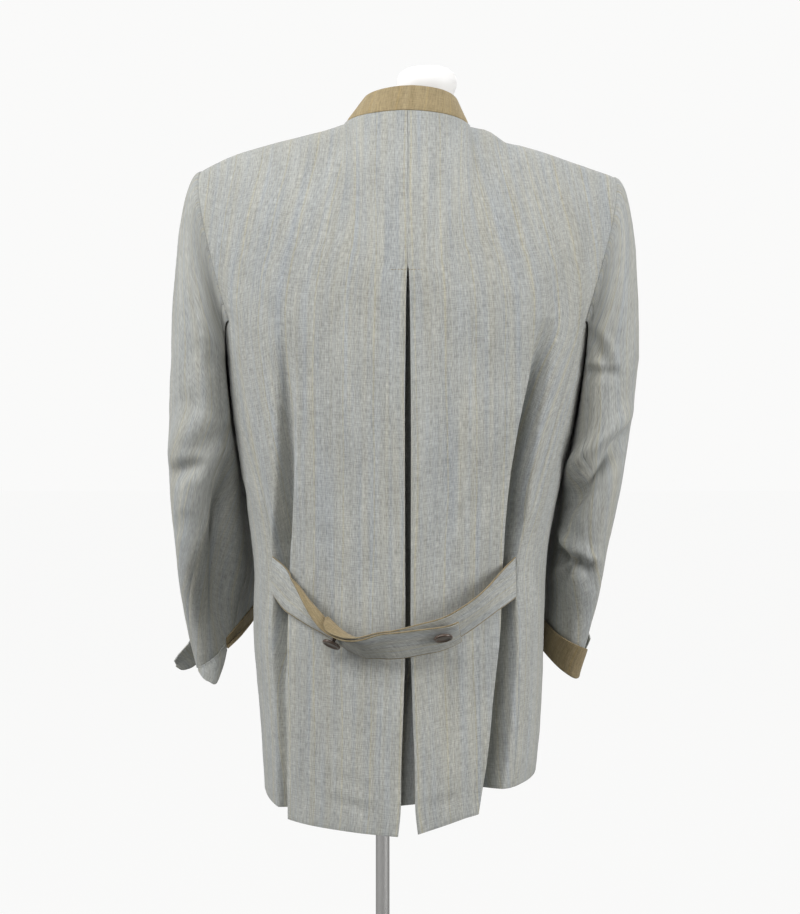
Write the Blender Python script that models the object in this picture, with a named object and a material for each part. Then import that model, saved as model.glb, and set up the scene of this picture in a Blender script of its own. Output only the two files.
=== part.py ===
"""Alpine jacket of slubbed linen on a limbless dress form with a pole and a round base.

Metres, +Z up. The back of the jacket faces -Y, the wearer's right is +X and the origin is on the floor under
the pole. Heights on the jacket are drops below the neck seam at the centre back, and side is +1 for the
wearer's right and -1 for the left.
"""

import math
from bisect import bisect_right
from collections import namedtuple
from functools import lru_cache

import bmesh
import bpy
import numpy as np
from mathutils import Vector

# Place of the jacket over the pole, and the cloth.
JACKET_X = 0.029
NECK_Z = 1.045
CLOTH = 0.0018
SEAM = 0.0003

# Body sections from the armpit down: half width, depth behind and in front of the side, squareness of the
# curve, sideways hang of the skirt, and how far from the centre back the side-back seams run.
ARMPIT = 0.235
ARMPIT_DIP = 0.012
FRONT_SEAM_Y = 0.055
PANEL_WIDTH = 0.150
RING_SAMPLES = 401
Section = namedtuple("Section", "drop half_width back front square shift left_seam right_seam")
SECTIONS = (
    Section(0.235, 0.212, 0.130, 0.145, 2.8, -0.001, 0.204, 0.204),
    Section(0.340, 0.199, 0.132, 0.143, 2.6, -0.004, 0.187, 0.172),
    Section(0.430, 0.182, 0.130, 0.140, 2.5, -0.007, 0.159, 0.150),
    Section(0.510, 0.170, 0.129, 0.138, 2.4, -0.009, 0.146, 0.128),
    Section(0.600, 0.168, 0.133, 0.140, 2.4, -0.010, 0.146, 0.131),
    Section(0.700, 0.162, 0.140, 0.146, 2.3, -0.008, 0.142, 0.127),
    Section(0.810, 0.152, 0.146, 0.150, 2.2, -0.011, 0.138, 0.120),
)

SEAM_FIELD = {-1: "left_seam", 1: "right_seam"}

# Hem drop at the centre back, the trough's ridge, the side-back seam, the front seam and the centre front.
Hem = namedtuple("Hem", "centre_back ridge back_seam front_seam centre_front")
HEM = {-1: Hem(0.808, 0.791, 0.772, 0.756, 0.750), 1: Hem(0.808, 0.785, 0.760, 0.742, 0.750)}

# The two long troughs that the belt draws into the back: the ridge on their inner side, and their depth. A
# trough runs from its ridge to the side-back seam, as a steep wall, a floor and a slope, in shares of that.
TROUGH_WALL = 0.38
TROUGH_FLOOR = 0.14
Trough = namedtuple("Trough", "drop ridge depth")
TROUGHS = {
    -1: (
        Trough(0.235, 0.1220, 0.000),
        Trough(0.330, 0.1200, 0.009),
        Trough(0.430, 0.1210, 0.018),
        Trough(0.510, 0.1250, 0.023),
        Trough(0.580, 0.1270, 0.022),
        Trough(0.690, 0.1270, 0.016),
        Trough(0.810, 0.1270, 0.010),
    ),
    1: (
        Trough(0.235, 0.1420, 0.000),
        Trough(0.285, 0.1335, 0.010),
        Trough(0.360, 0.1195, 0.020),
        Trough(0.430, 0.1100, 0.026),
        Trough(0.510, 0.1050, 0.027),
        Trough(0.580, 0.1020, 0.028),
        Trough(0.660, 0.0930, 0.028),
        Trough(0.730, 0.0850, 0.026),
        Trough(0.810, 0.0720, 0.024),
    ),
}

# Centre-back edge, turned under: opening between the two edges, and reach and dive of the turned layer.
FOLD_RADIUS = 0.0022
Pleat = namedtuple("Pleat", "drop gap reach dive")
PLEAT = (
    Pleat(0.000, 0.0004, 0.008, 0),
    Pleat(0.182, 0.0004, 0.008, 0),
    Pleat(0.215, 0.0030, 0.018, 18),
    Pleat(0.260, 0.0055, 0.030, 34),
    Pleat(0.350, 0.0075, 0.038, 38),
    Pleat(0.500, 0.0068, 0.038, 38),
    Pleat(0.600, 0.0065, 0.038, 38),
    Pleat(0.660, 0.0095, 0.038, 38),
    Pleat(0.730, 0.0145, 0.038, 36),
    Pleat(0.780, 0.0160, 0.038, 34),
    Pleat(0.810, 0.0220, 0.038, 32),
)
UNDERLAY_TOP = 0.190
UNDERLAY_HEM = 0.783
UNDERLAY_BEHIND = 0.0009
UNDERLAY_ROW_APART = 0.006

# Neckline, shoulder seams and armholes. The right shoulder has a dent beside the neck.
NECK_HALF = 0.0725
NECK_BACK_Y = -0.060
NECK_BACK_DROP = -0.0045
NECK_FRONT_Y = 0.078
NECK_FRONT_DROP = 0.085
NECK_SHARE = 0.34
NAPE_SHARE = 0.10
SHOULDER_HALF = 0.239
SHOULDER_Y = 0.004
ARMHOLE_BULGE = 0.008
NAPE_CURVE = 2.2
Shoulder = namedtuple("Shoulder", "neck_drop tip_drop arch")
SHOULDERS = {-1: Shoulder(0.0030, 0.057, 0.006), 1: Shoulder(0.0060, 0.064, 0.000)}
DENT_X = 0.120
DENT_WIDE = 0.013
DENT_LONG = 0.035
DENT_DEEP = 0.006

# Front edge: lap of the left front over the right, and its lift off it.
FRONT_LAP = 0.018
FRONT_LIFT = 0.0026
FRONT_LIFT_REACH = 0.045

# Stand collar.
COLLAR_CLOTH = 0.0022
COLLAR_HEIGHT = 0.0295
COLLAR_LEAN = 0.008
COLLAR_SIDE_LEAN = 0.010
COLLAR_ASIDE = 0.004
COLLAR_OPENING = 0.03

# Sleeve sections: centre, half thickness and half depth, turn of the section's long way, turn of the cloth
# round it, and slopes of its plane along and across that way. The sleeves keep clear of the body.
SLEEVE_START = 0.275
STATIONS = 24
BACK_STATION = 9
FRONT_STATION = 15
ELBOW_SEAM = 8.4
FOREARM_SEAM = 16
SLEEVE_NICK = 0.045
CAP_ROLL = 0.021
UNDERARM_ROLL = 0.004
CAP_HANG = 0.45
ARM_SQUARE = 2.06
ARM_CLEAR = 0.0035
ARM_YIELD = 0.008
CUFF_CLEAR = 0.005
CUFF_CLEAR_FROM = 0.470
CUFF_CLEAR_RUN = 0.080
Arm = namedtuple("Arm", "drop x y thick deep axis turn slope cant")
ARMS = {
    -1: (
        Arm(0.275, 0.2400, 0.008, 0.0345, 0.080, 3, 12, 0.00, 0.00),
        Arm(0.340, 0.2380, 0.010, 0.0385, 0.080, 7, 22, 0.00, 0.00),
        Arm(0.410, 0.2345, 0.014, 0.0420, 0.077, 9, -12, 0.04, 0.00),
        Arm(0.480, 0.2270, 0.028, 0.0435, 0.072, 11, -41, 0.14, 0.15),
        Arm(0.550, 0.2200, 0.054, 0.0400, 0.068, 15, -71, 0.30, 0.38),
        Arm(0.606, 0.2165, 0.080, 0.0290, 0.064, 18, -89, 0.44, 0.60),
    ),
    1: (
        Arm(0.275, 0.2350, 0.008, 0.0340, 0.080, 3, 2, 0.00, 0.00),
        Arm(0.340, 0.2265, 0.010, 0.0345, 0.080, 7, -6, 0.00, 0.00),
        Arm(0.410, 0.2145, 0.014, 0.0355, 0.077, 9, -18, 0.05, 0.00),
        Arm(0.480, 0.2005, 0.030, 0.0335, 0.074, 11, -36, 0.16, 0.08),
        Arm(0.550, 0.1885, 0.058, 0.0285, 0.071, 12, -73, 0.30, 0.00),
        Arm(0.614, 0.1730, 0.084, 0.0240, 0.067, 14, -95, 0.44, -0.10),
    ),
}

# Turned cuffs by sleeve station: their fold and their free edge above the sleeve's end. The corners at the
# vents are cut the same way and stand off the sleeve; the inner one hangs below its end.
CUFF_CLOTH = 0.0016
CUFF_OFF = 0.0009
CUFF_FLARE = 0.05
Cuff = namedtuple("Cuff", "station low high off")
CUFFS = {
    "cuff_left": (-1, (
        Cuff(14.9, -0.001, 0.005, 0.000),
        Cuff(16.5, -0.001, 0.009, 0.000),
        Cuff(18.5, -0.001, 0.018, 0.000),
        Cuff(21.0, -0.001, 0.030, 0.000),
        Cuff(28.96, -0.001, 0.032, 0.000),
    )),
    "cuff_left_outer_tip": (-1, (
        Cuff(29.0, -0.001, 0.032, 0.000),
        Cuff(30.3, 0.001, 0.029, 0.009),
        Cuff(31.0, 0.006, 0.021, 0.016),
    )),
    "cuff_left_inner_tip": (-1, (
        Cuff(11.5, -0.004, -0.0005, -0.0020),
        Cuff(13.0, -0.020, -0.0005, -0.0020),
        Cuff(14.2, -0.027, -0.0005, -0.0020),
        Cuff(14.8, -0.023, -0.0005, -0.0020),
    )),
    "cuff_right": (1, (
        Cuff(8.6, 0.003, 0.020, 0.000),
        Cuff(9.6, -0.001, 0.028, 0.000),
        Cuff(13.0, -0.001, 0.032, 0.000),
        Cuff(29.46, -0.001, 0.032, 0.000),
    )),
    "cuff_right_outer_tip": (1, (
        Cuff(29.5, 0.001, 0.032, 0.000),
        Cuff(30.6, 0.004, 0.034, 0.001),
        Cuff(31.6, 0.010, 0.032, 0.002),
    )),
}

# Half belt, slack between the side-back seams: its middle line from the left seam to the right one, how far
# its upper edge leans out from the back, and its curl across. The right strap stands steeper where they lap.
BELT_DROP = {-1: 0.522, 1: 0.524}
BELT_CLOTH = 0.0012
BACKING_CLOTH = 0.0010
BELT_HALF = 0.0215
BELT_LEFT_END = 0.266
BELT_RIGHT_END = 0.102
BELT_ROWS = 28
BELT_ACROSS = 4
STEEPER = math.radians(15)
STEEPER_FROM = 0.160
STEEPER_TO = 0.260
STEEPER_RUN = 0.050
STRAP_TIP_SHARE = 0.62
STRAP_TIP_WIDENING = 16
RUN_APART = 0.004
BELT_SEAT = {-1: 0.0026, 1: 0.0044}
BELT_START = 0.0012
BELT_FREE = 0.060
LAYER_GAP = 0.0009
BACKING_EDGE = 0.0011
Strap = namedtuple("Strap", "run x y drop lean curl")
STRAP = (
    Strap(0.036, -0.133, -0.118, 0.539, 12, -30),
    Strap(0.078, -0.110, -0.148, 0.565, 64, -44),
    Strap(0.112, -0.086, -0.154, 0.586, 98, -24),
    Strap(0.170, -0.030, -0.162, 0.597, 66, -6),
    Strap(0.227, 0.026, -0.161, 0.590, 59, 0),
    Strap(0.262, 0.058, -0.154, 0.578, 54, 0),
    Strap(0.310, 0.092, -0.137, 0.551, 18, 0),
    Strap(0.335, 0.108, -0.122, 0.537, 6, 0),
)
STRAP_LENGTH = 0.360

# Horn buttons.
BUTTON_RADIUS = 0.0105
BUTTON_THICK = 0.0038
BUTTON_SHANK = 0.0026
BUTTON_SHANK_RADIUS = 0.0028
BUTTON_DISH = 0.3
BUTTON_SIDES = 9
BELT_BUTTON_RUNS = {"belt_button_left": 0.117, "belt_button_right": 0.244}
FRONT_BUTTON_ROWS = (1.82, 1.32, 0.948, 0.802, 0.656)
FRONT_BUTTON_SHANK = 0.0014

# Dress form: middle beside the jacket's, half width, depth behind and in front, and sideways tilt.
FORM_SIDES = 20
FORM_SQUARE = 2.2
Form = namedtuple("Form", "drop x half_width back front tilt")
FORM = (
    Form(-0.0625, 0.0225, 0.015, 0.018, 0.018, 0.000),
    Form(-0.0605, 0.0225, 0.024, 0.029, 0.028, 0.000),
    Form(-0.054, 0.0225, 0.0325, 0.037, 0.036, 0.000),
    Form(-0.044, 0.0225, 0.0350, 0.040, 0.038, 0.000),
    Form(-0.028, 0.0195, 0.0330, 0.036, 0.036, 0.000),
    Form(-0.006, 0.0178, 0.0330, 0.039, 0.037, 0.010),
    Form(0.012, 0.013, 0.042, 0.042, 0.038, 0.030),
    Form(0.019, 0.006, 0.056, 0.038, 0.028, 0.0385),
    Form(0.0230, 0.002, 0.100, 0.030, 0.015, 0.0385),
    Form(0.0285, 0.000, 0.1345, 0.030, 0.016, 0.0390),
    Form(0.042, 0.000, 0.160, 0.046, 0.027, 0.0385),
    Form(0.060, 0.000, 0.174, 0.062, 0.044, 0.0385),
    Form(0.090, 0.000, 0.182, 0.078, 0.058, 0.0385),
    Form(0.140, 0.000, 0.184, 0.090, 0.082, 0.037),
    Form(0.235, -0.002, 0.172, 0.090, 0.104, 0.034),
    Form(0.340, -0.006, 0.152, 0.080, 0.102, 0.026),
    Form(0.430, -0.012, 0.130, 0.072, 0.094, 0.018),
    Form(0.510, -0.018, 0.120, 0.070, 0.092, 0.010),
    Form(0.600, -0.024, 0.120, 0.076, 0.094, 0.004),
    Form(0.645, -0.028, 0.112, 0.072, 0.088, 0.000),
    Form(0.660, -0.029, 0.098, 0.062, 0.076, 0.000),
)
POLE_RADIUS = 0.008
POLE_SIDES = 20
SOCKET_DEEP = 0.060
BASE_RADIUS = 0.150
BASE_THICK = 0.010
BASE_SIDES = 28
BOSS_RADIUS = 0.016
BOSS_TOP = 0.034
BOSS_FLOOR = 0.004


def along(table, field, at):
    """One column of a table on a smooth curve through its rows, whose first column is the place."""
    places = [row[0] for row in table]
    values = [getattr(row, field) for row in table]
    if at <= places[0]:
        return values[0]
    if at >= places[-1]:
        return values[-1]
    i = bisect_right(places, at) - 1
    span = places[i + 1] - places[i]
    rise = values[i + 1] - values[i]
    start = end = rise / span
    if i > 0:
        start = (values[i + 1] - values[i - 1]) / (places[i + 1] - places[i - 1])
    if i + 2 < len(places):
        end = (values[i + 2] - values[i]) / (places[i + 2] - places[i])
    t = (at - places[i]) / span
    bend = (1 - t) * (start * span - rise) - t * (end * span - rise)
    return values[i] + t * rise + t * (1 - t) * bend


def ease(t):
    """Smooth step from 0 to 1."""
    t = min(max(t, 0.0), 1.0)
    return t * t * (3 - 2 * t)


def mix(a, b, t):
    return a + (b - a) * t


def world(x, y, drop):
    return Vector((JACKET_X + x, y, NECK_Z - drop))


@lru_cache(maxsize=None)
def half_ring(drop):
    """x, y and running length of half a plain body section, from the centre back to the centre front."""
    angle = np.linspace(0.0, math.pi, RING_SAMPLES)
    power = 2 / along(SECTIONS, "square", drop)
    s, c = np.sin(angle), np.cos(angle)
    depth = np.where(c > 0, along(SECTIONS, "back", drop), along(SECTIONS, "front", drop))
    x = along(SECTIONS, "half_width", drop) * np.abs(s) ** power
    y = -np.sign(c) * depth * np.abs(c) ** power
    length = np.concatenate(([0.0], np.cumsum(np.hypot(np.diff(x), np.diff(y)))))
    return x, y, length


@lru_cache(maxsize=None)
def seams(side, drop):
    """Distances round the section to the side-back seam, the front seam and the centre front."""
    x, y, length = half_ring(drop)
    half = RING_SAMPLES // 2
    back = np.interp(along(SECTIONS, SEAM_FIELD[side], drop), x[:half], length[:half])
    return back, np.interp(FRONT_SEAM_Y, y, length), length[-1]


@lru_cache(maxsize=None)
def ridge_share(side, drop):
    """Place of the trough's ridge as a share of the way from the centre back to the side-back seam."""
    x, _, length = half_ring(drop)
    half = RING_SAMPLES // 2
    return np.interp(along(TROUGHS[side], "ridge", drop), x[:half], length[:half]) / seams(side, drop)[0]


def ring_point(side, distance, drop):
    """Jacket-frame x, y and drop at a distance round the section from the centre back, with the troughs."""
    x, y, length = half_ring(drop)
    step = 0.002
    px, py = np.interp(distance, length, x), np.interp(distance, length, y)
    tx = np.interp(distance + step, length, x) - np.interp(distance - step, length, x)
    ty = np.interp(distance + step, length, y) - np.interp(distance - step, length, y)
    inset = 0.0
    if py < 0:
        ridge = along(TROUGHS[side], "ridge", drop)
        share = (px - ridge) / (along(SECTIONS, SEAM_FIELD[side], drop) - ridge)
        slope = (share - TROUGH_WALL - TROUGH_FLOOR) / (1 - TROUGH_WALL - TROUGH_FLOOR)
        inset = along(TROUGHS[side], "depth", drop) * ease(share / TROUGH_WALL) * (1 - ease(slope))
    size = math.hypot(tx, ty)
    hang = along(SECTIONS, "shift", drop) * (px / along(SECTIONS, "half_width", drop)) ** 2
    px, py = px - inset * ty / size, py + inset * tx / size
    return side * px + hang, py, drop


def top_edge(side, u, front):
    """x, y and drop of the neckline, then of the shoulder seam, from the centre to the shoulder tip."""
    lap = SEAM / 2 if front else -SEAM / 2
    shoulder = SHOULDERS[side]
    if u < NECK_SHARE:
        s, c = math.sin(math.pi / 2 * u / NECK_SHARE), math.cos(math.pi / 2 * u / NECK_SHARE)
        depth, centre = (NECK_FRONT_Y, NECK_FRONT_DROP) if front else (NECK_BACK_Y, NECK_BACK_DROP)
        return NECK_HALF * s, mix(SHOULDER_Y, depth, c) + lap, mix(shoulder.neck_drop, centre, c)
    t = (u - NECK_SHARE) / (1 - NECK_SHARE)
    arch = shoulder.arch * math.sin(math.pi * min(t, 1.0) ** 1.8)
    drop = mix(shoulder.neck_drop, shoulder.tip_drop, t) - arch
    return mix(NECK_HALF, SHOULDER_HALF, t), SHOULDER_Y + lap, drop


def yoke_point(side, u, t, front):
    """Upper back or front from the armpit section (t = 0) to the neckline and shoulder seam (t = 1)."""
    back, fore, centre = seams(side, ARMPIT)
    low = ring_point(side, centre - u * (centre - fore) if front else u * back, ARMPIT)
    top = top_edge(side, u, front)
    round_over = ease((u - NAPE_SHARE) / (NECK_SHARE - NAPE_SHARE))
    rise = mix(t, math.sin(math.pi / 2 * t), round_over)
    lean = mix(1 - abs(t) ** NAPE_CURVE, math.cos(math.pi / 2 * t), round_over)
    bulge = 0.0 if front else ARMHOLE_BULGE * u * u * math.sin(math.pi * t)
    x = mix(side * low[0], top[0], rise) + bulge
    y = mix(top[1], low[1], lean)
    drop = mix(ARMPIT, top[2], rise)
    if side > 0:
        drop += DENT_DEEP * math.exp(-(((x - DENT_X) / DENT_WIDE) ** 2) - ((y - SHOULDER_Y) / DENT_LONG) ** 2)
    return world(side * x, y, drop)


def back_surface(side, u, v):
    """Back panel: u from the centre back to the seam, v from the hem (0) by the armpit (1) to the top (2)."""
    if v > 1:
        return yoke_point(side, u, v - 1, False)
    hem = HEM[side]
    knee = ridge_share(side, ARMPIT)
    beyond = (u - knee) / (1 - knee)
    low = mix(hem.centre_back, hem.ridge, u / knee)
    if beyond > 0:
        low = mix(hem.ridge, hem.back_seam, ease(beyond / TROUGH_WALL))
    drop = mix(low, ARMPIT, v)
    here = ridge_share(side, drop)
    share = mix(here, 1.0, beyond) if beyond > 0 else u * here / knee
    return world(*ring_point(side, share * seams(side, drop)[0], drop))


def side_surface(side, u, v):
    """Side panel: u from the back seam to the front seam, v from the hem to the underarm."""
    hem = HEM[side]
    top = ARMPIT + ARMPIT_DIP * math.sin(math.pi * min(max(u, 0.0), 1.0))
    drop = mix(mix(hem.back_seam, hem.front_seam, u), top, v)
    back, fore, _ = seams(side, drop)
    return world(*ring_point(side, mix(back, fore, u), drop))


def front_surface(side, u, v):
    """Front: u from the centre front to the front seam; below 0 it laps on to the other side."""
    if u < 0:
        side, u = -side, -u
    if v > 1:
        return yoke_point(side, u, v - 1, True)
    hem = HEM[side]
    drop = mix(mix(hem.centre_front, hem.front_seam, u), ARMPIT, v)
    _, fore, centre = seams(side, drop)
    return world(*ring_point(side, mix(centre, fore, u), drop))


def facing(point, u, v, sign):
    """Unit outward direction of a surface, from its slopes."""
    step = 1e-3
    across = point(u + step, v) - point(u - step, v)
    up = point(u, v + step) - point(u, v - step)
    return across.cross(up).normalized() * sign


def row_drop(side, v):
    """Drop of the centre back at a row of the back panel."""
    if v > 1:
        return ARMPIT * (2 - v)
    return mix(HEM[side].centre_back, ARMPIT, v)


def back_point(side, c, v):
    """Back panel with its turned edge: c over 0 is the panel, -1 to 0 the fold, under -1 turned in."""
    drop = row_drop(side, v)
    level = max(drop, ARMPIT)
    knee = ridge_share(side, ARMPIT)
    scale = knee / ridge_share(side, level) / seams(side, level)[0]
    edge = along(PLEAT, "gap", drop) / 2 + FOLD_RADIUS
    if c >= 0:
        return back_surface(side, mix(edge * scale, knee, c / knee) if c < knee else c, v)
    turned = math.pi * min(-c, 1.0)
    reach = along(PLEAT, "reach", drop) * max(-1 - c, 0.0)
    dive = math.radians(along(PLEAT, "dive", drop))
    aside = edge - FOLD_RADIUS * math.sin(turned) + reach * math.cos(dive)
    deep = FOLD_RADIUS * (1 - math.cos(turned)) + reach * math.sin(dive)
    out = facing(lambda a, b: back_surface(side, a, b), 0.03, v, side)
    out = Vector((0.0, out.y, out.z)).normalized()
    return back_surface(side, aside * scale, v) - out * deep


def underlay_point(u, v):
    """Strip behind the pleat, just inside the ends of the two turned layers; u from -1 to 1."""
    ends = [back_point(side, -2.0, v) for side in (-1, 1)]
    return ends[0].lerp(ends[1], (1 + u) / 2) + Vector((0.0, UNDERLAY_BEHIND, 0.0))


def front_point(side, u, v):
    """Front with the left one lifted where it laps over the right."""
    point = front_surface(side, u, v)
    if side > 0:
        return point
    width = seams(side, ARMPIT)[2] - seams(side, ARMPIT)[1]
    lift = FRONT_LIFT * ease(2 * (1 - u * width / FRONT_LIFT_REACH))
    return point + facing(lambda a, b: front_surface(side, a, b), max(u, 0.02), v, -side) * lift


def collar_point(s, h):
    """Stand collar: s from the left front edge (-1) by the centre back (0) to the right (1), h up it."""
    side, q = (1 if s >= 0 else -1), abs(s)
    front = q > 0.5
    x, y, drop = top_edge(side, (2 - 2 * q if front else 2 * q) * NECK_SHARE, front)
    inward = Vector((-x, SHOULDER_Y - y))
    lean = COLLAR_LEAN + COLLAR_SIDE_LEAN * math.sin(math.pi * q)
    inward *= lean * h / inward.length
    aside = side * (x + inward.x) + COLLAR_ASIDE * h
    return world(aside, y + inward.y, drop - 3 * SEAM - COLLAR_HEIGHT * h)


def armhole(side, j):
    """Edge of the armhole, from the shoulder tip down the back, under the arm and up the front."""
    j %= STATIONS
    if j <= BACK_STATION:
        return back_surface(side, 1.0, 2 - j / BACK_STATION)
    if j <= FRONT_STATION:
        return side_surface(side, (j - BACK_STATION) / (FRONT_STATION - BACK_STATION), 1.0)
    return front_surface(side, 1.0, 1 + (j - FRONT_STATION) / (STATIONS - FRONT_STATION))


def arm_point(side, j, drop):
    """Hanging part of the sleeve at a station and drop."""
    rows = ARMS[side]
    angle = math.tau * j / STATIONS + math.radians(along(rows, "turn", drop))
    s, c = math.sin(angle), math.cos(angle)
    x = along(rows, "thick", drop) * math.copysign(abs(c) ** (2 / ARM_SQUARE), c)
    y = -along(rows, "deep", drop) * math.copysign(abs(s) ** (2 / ARM_SQUARE), s)
    level = drop - along(rows, "slope", drop) * y + along(rows, "cant", drop) * x
    axis = math.radians(along(rows, "axis", drop))
    x, y = x * math.cos(axis) - y * math.sin(axis), x * math.sin(axis) + y * math.cos(axis)
    x, y = along(rows, "x", drop) + x, along(rows, "y", drop) + y
    body_x, body_y, _ = half_ring(level)
    clear = np.interp(y, body_y, body_x) + side * along(SECTIONS, "shift", level)
    clear += ARM_CLEAR + CUFF_CLEAR * ease((drop - CUFF_CLEAR_FROM) / CUFF_CLEAR_RUN)
    x = (x + clear + math.hypot(x - clear, ARM_YIELD)) / 2
    return world(side * x, y, level)


def sleeve_point(side, j, r):
    """Sleeve: r from the armhole (0) over the cap to the arm (1) and down to the end (2)."""
    if r > 1:
        return arm_point(side, j, mix(SLEEVE_START, ARMS[side][-1].drop, r - 1))
    head = 0.5 + 0.5 * math.cos(math.tau * j / STATIONS)
    out = Vector((side, 0.0, 0.0))
    start = armhole(side, j) + out * 1.5 * SEAM
    end = arm_point(side, j, SLEEVE_START)
    roll = start + out * mix(UNDERARM_ROLL, CAP_ROLL, head)
    hang = end + Vector((0.0, 0.0, CAP_HANG * (start - end).length))
    s = 1 - r
    return start * s**3 + roll * 3 * s * s * r + hang * 3 * s * r * r + end * r**3


def cuff_point(side, rows, j, h):
    """Turned cuff or vent corner outside the sleeve's end; h from its low edge to its high one."""
    rise = mix(along(rows, "low", j), along(rows, "high", j), h)
    r = 2 - rise / (ARMS[side][-1].drop - SLEEVE_START)
    out = facing(lambda a, b: sleeve_point(side, a, b), j, min(r, 1.99), side)
    off = CUFF_OFF + CUFF_CLOTH + CUFF_FLARE * max(rise, 0.0) + along(rows, "off", j)
    return sleeve_point(side, j, r) + out * off


def belt_line(run):
    """Middle of the belt at a run from the left seam."""
    ends = {}
    for side in (-1, 1):
        v = 1 - (BELT_DROP[side] - ARMPIT) / (HEM[side].back_seam - ARMPIT)
        seat = back_surface(side, 1.0, v)
        out = facing(lambda a, b, s=side: back_surface(s, a, b), 1.0, v, side)
        seat += out * BELT_SEAT[side]
        ends[side] = (seat.x - JACKET_X, seat.y, NECK_Z - seat.z)
    rows = (Strap(0.0, *ends[-1], 0, 0), *STRAP, Strap(STRAP_LENGTH, *ends[1], 0, 0))
    at = world(*(along(rows, field, run) for field in ("x", "y", "drop")))
    return at, math.radians(along(rows, "lean", run)), math.radians(along(rows, "curl", run))


@lru_cache(maxsize=None)
def belt_frame(run):
    """Middle of the belt, its upward and outward directions, and its lean and curl; upright at its seams."""
    middle, lean, curl = belt_line(run)
    forward = (belt_line(run + 0.002)[0] - belt_line(run - 0.002)[0]).normalized()
    free = ease(run / BELT_FREE) * ease((STRAP_LENGTH - run) / BELT_FREE)
    up = Vector((0.0, 0.0, 1.0))
    up = (up - forward * up.dot(forward) * free).normalized()
    return middle, up, forward.cross(up).normalized(), lean, curl


def belt_point(run, across, level, steeper=0.0):
    """Point on the belt at a distance across it and a level behind its outer face; it may stand steeper."""
    middle, up, out, lean, curl = belt_frame(run)
    low = middle - (up * math.cos(lean) + out * math.sin(lean)) * BELT_HALF
    lapped = ease((run - STEEPER_FROM) / STEEPER_RUN) * (1 - ease((run - STEEPER_TO) / STEEPER_RUN))
    lean -= steeper * lapped
    middle = low + (up * math.cos(lean) + out * math.sin(lean)) * BELT_HALF
    bend = curl * across / BELT_HALF
    mean = lean + bend / 2
    chord = across * (math.sin(bend / 2) / (bend / 2) if abs(bend) > 1e-6 else 1.0)
    angle = lean + bend
    face = out * math.cos(angle) - up * math.sin(angle)
    return middle + (up * math.cos(mean) + out * math.sin(mean)) * chord - face * level


def material(name, colour, roughness, metallic=0.0):
    made = bpy.data.materials.new(name)
    made.use_nodes = True
    shader = made.node_tree.nodes["Principled BSDF"]
    shader.inputs["Base Color"].default_value = (*colour, 1.0)
    shader.inputs["Roughness"].default_value = roughness
    shader.inputs["Metallic"].default_value = metallic
    return made


def finish(name, shape, surface, sharp_deg):
    """Put a closed shape into the scene, facing outwards and smooth up to an angle."""
    bmesh.ops.recalc_face_normals(shape, faces=shape.faces)
    mesh = bpy.data.meshes.new(name)
    shape.to_mesh(mesh)
    shape.free()
    for face in mesh.polygons:
        face.use_smooth = True
    mesh.set_sharp_from_angle(angle=math.radians(sharp_deg))
    mesh.materials.append(surface)
    piece = bpy.data.objects.new(name, mesh)
    bpy.context.scene.collection.objects.link(piece)
    return piece


def wall(name, outer, inner, surface):
    """Closed sheet between an outer and an inner grid of points."""
    shape = bmesh.new()
    sides = [[[shape.verts.new(p) for p in row] for row in grid] for grid in (outer, inner)]
    rows, columns = len(outer), len(outer[0])
    for grid in sides:
        for i in range(rows - 1):
            for j in range(columns - 1):
                shape.faces.new((grid[i][j], grid[i][j + 1], grid[i + 1][j + 1], grid[i + 1][j]))
    rim = [(0, j) for j in range(columns)] + [(i, columns - 1) for i in range(1, rows)]
    rim += [(rows - 1, j) for j in range(columns - 2, -1, -1)] + [(i, 0) for i in range(rows - 2, 0, -1)]
    for (i, j), (k, m) in zip(rim, rim[1:] + rim[:1]):
        shape.faces.new((sides[0][i][j], sides[0][k][m], sides[1][k][m], sides[1][i][j]))
    return finish(name, shape, surface, 50)


def cloth(name, point, columns, rows, sign, surface, thick=CLOTH):
    """Closed cloth wall whose outer side is point(u, v) and whose inner side lies one thickness behind."""
    outer = [[point(u, v) for u in columns] for v in rows]
    inner = [[point(u, v) - facing(point, u, v, sign) * thick for u in columns] for v in rows]
    return wall(name, outer, inner, surface)


def lathe(name, profile, sides, surface, place=None):
    """Solid turned about Z from a profile of (radius, height) that starts and ends on the axis."""
    shape = bmesh.new()
    points = [shape.verts.new((r, 0.0, z)) for r, z in profile]
    edges = [shape.edges.new(pair) for pair in zip(points, points[1:])]
    bmesh.ops.spin(
        shape,
        geom=points + edges,
        cent=(0, 0, 0),
        axis=(0, 0, 1),
        angle=math.tau,
        steps=sides,
        use_merge=True,
    )
    bmesh.ops.remove_doubles(shape, verts=shape.verts, dist=1e-6)
    if place:
        middle, out = place
        turn = Vector((0.0, 0.0, 1.0)).rotation_difference(out).to_matrix().to_4x4()
        bmesh.ops.transform(shape, matrix=turn, verts=shape.verts)
        bmesh.ops.translate(shape, vec=middle, verts=shape.verts)
    return finish(name, shape, surface, 35)


def button(name, middle, out, shank):
    radius, top = BUTTON_RADIUS, shank + BUTTON_THICK
    profile = (
        (0.0, 0.0),
        (BUTTON_SHANK_RADIUS, 0.0),
        (BUTTON_SHANK_RADIUS, shank),
        (0.72 * radius, shank),
        (radius, shank + 0.35 * BUTTON_THICK),
        (0.93 * radius, top),
        (0.66 * radius, top - BUTTON_DISH * BUTTON_THICK),
        (0.0, top - BUTTON_DISH * BUTTON_THICK),
    )
    return lathe(name, profile, BUTTON_SIDES, HORN, (middle, out))


def spread(first, last, count):
    return [mix(first, last, i / count) for i in range(count + 1)]


for old in list(bpy.data.objects):
    bpy.data.objects.remove(old)

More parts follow.
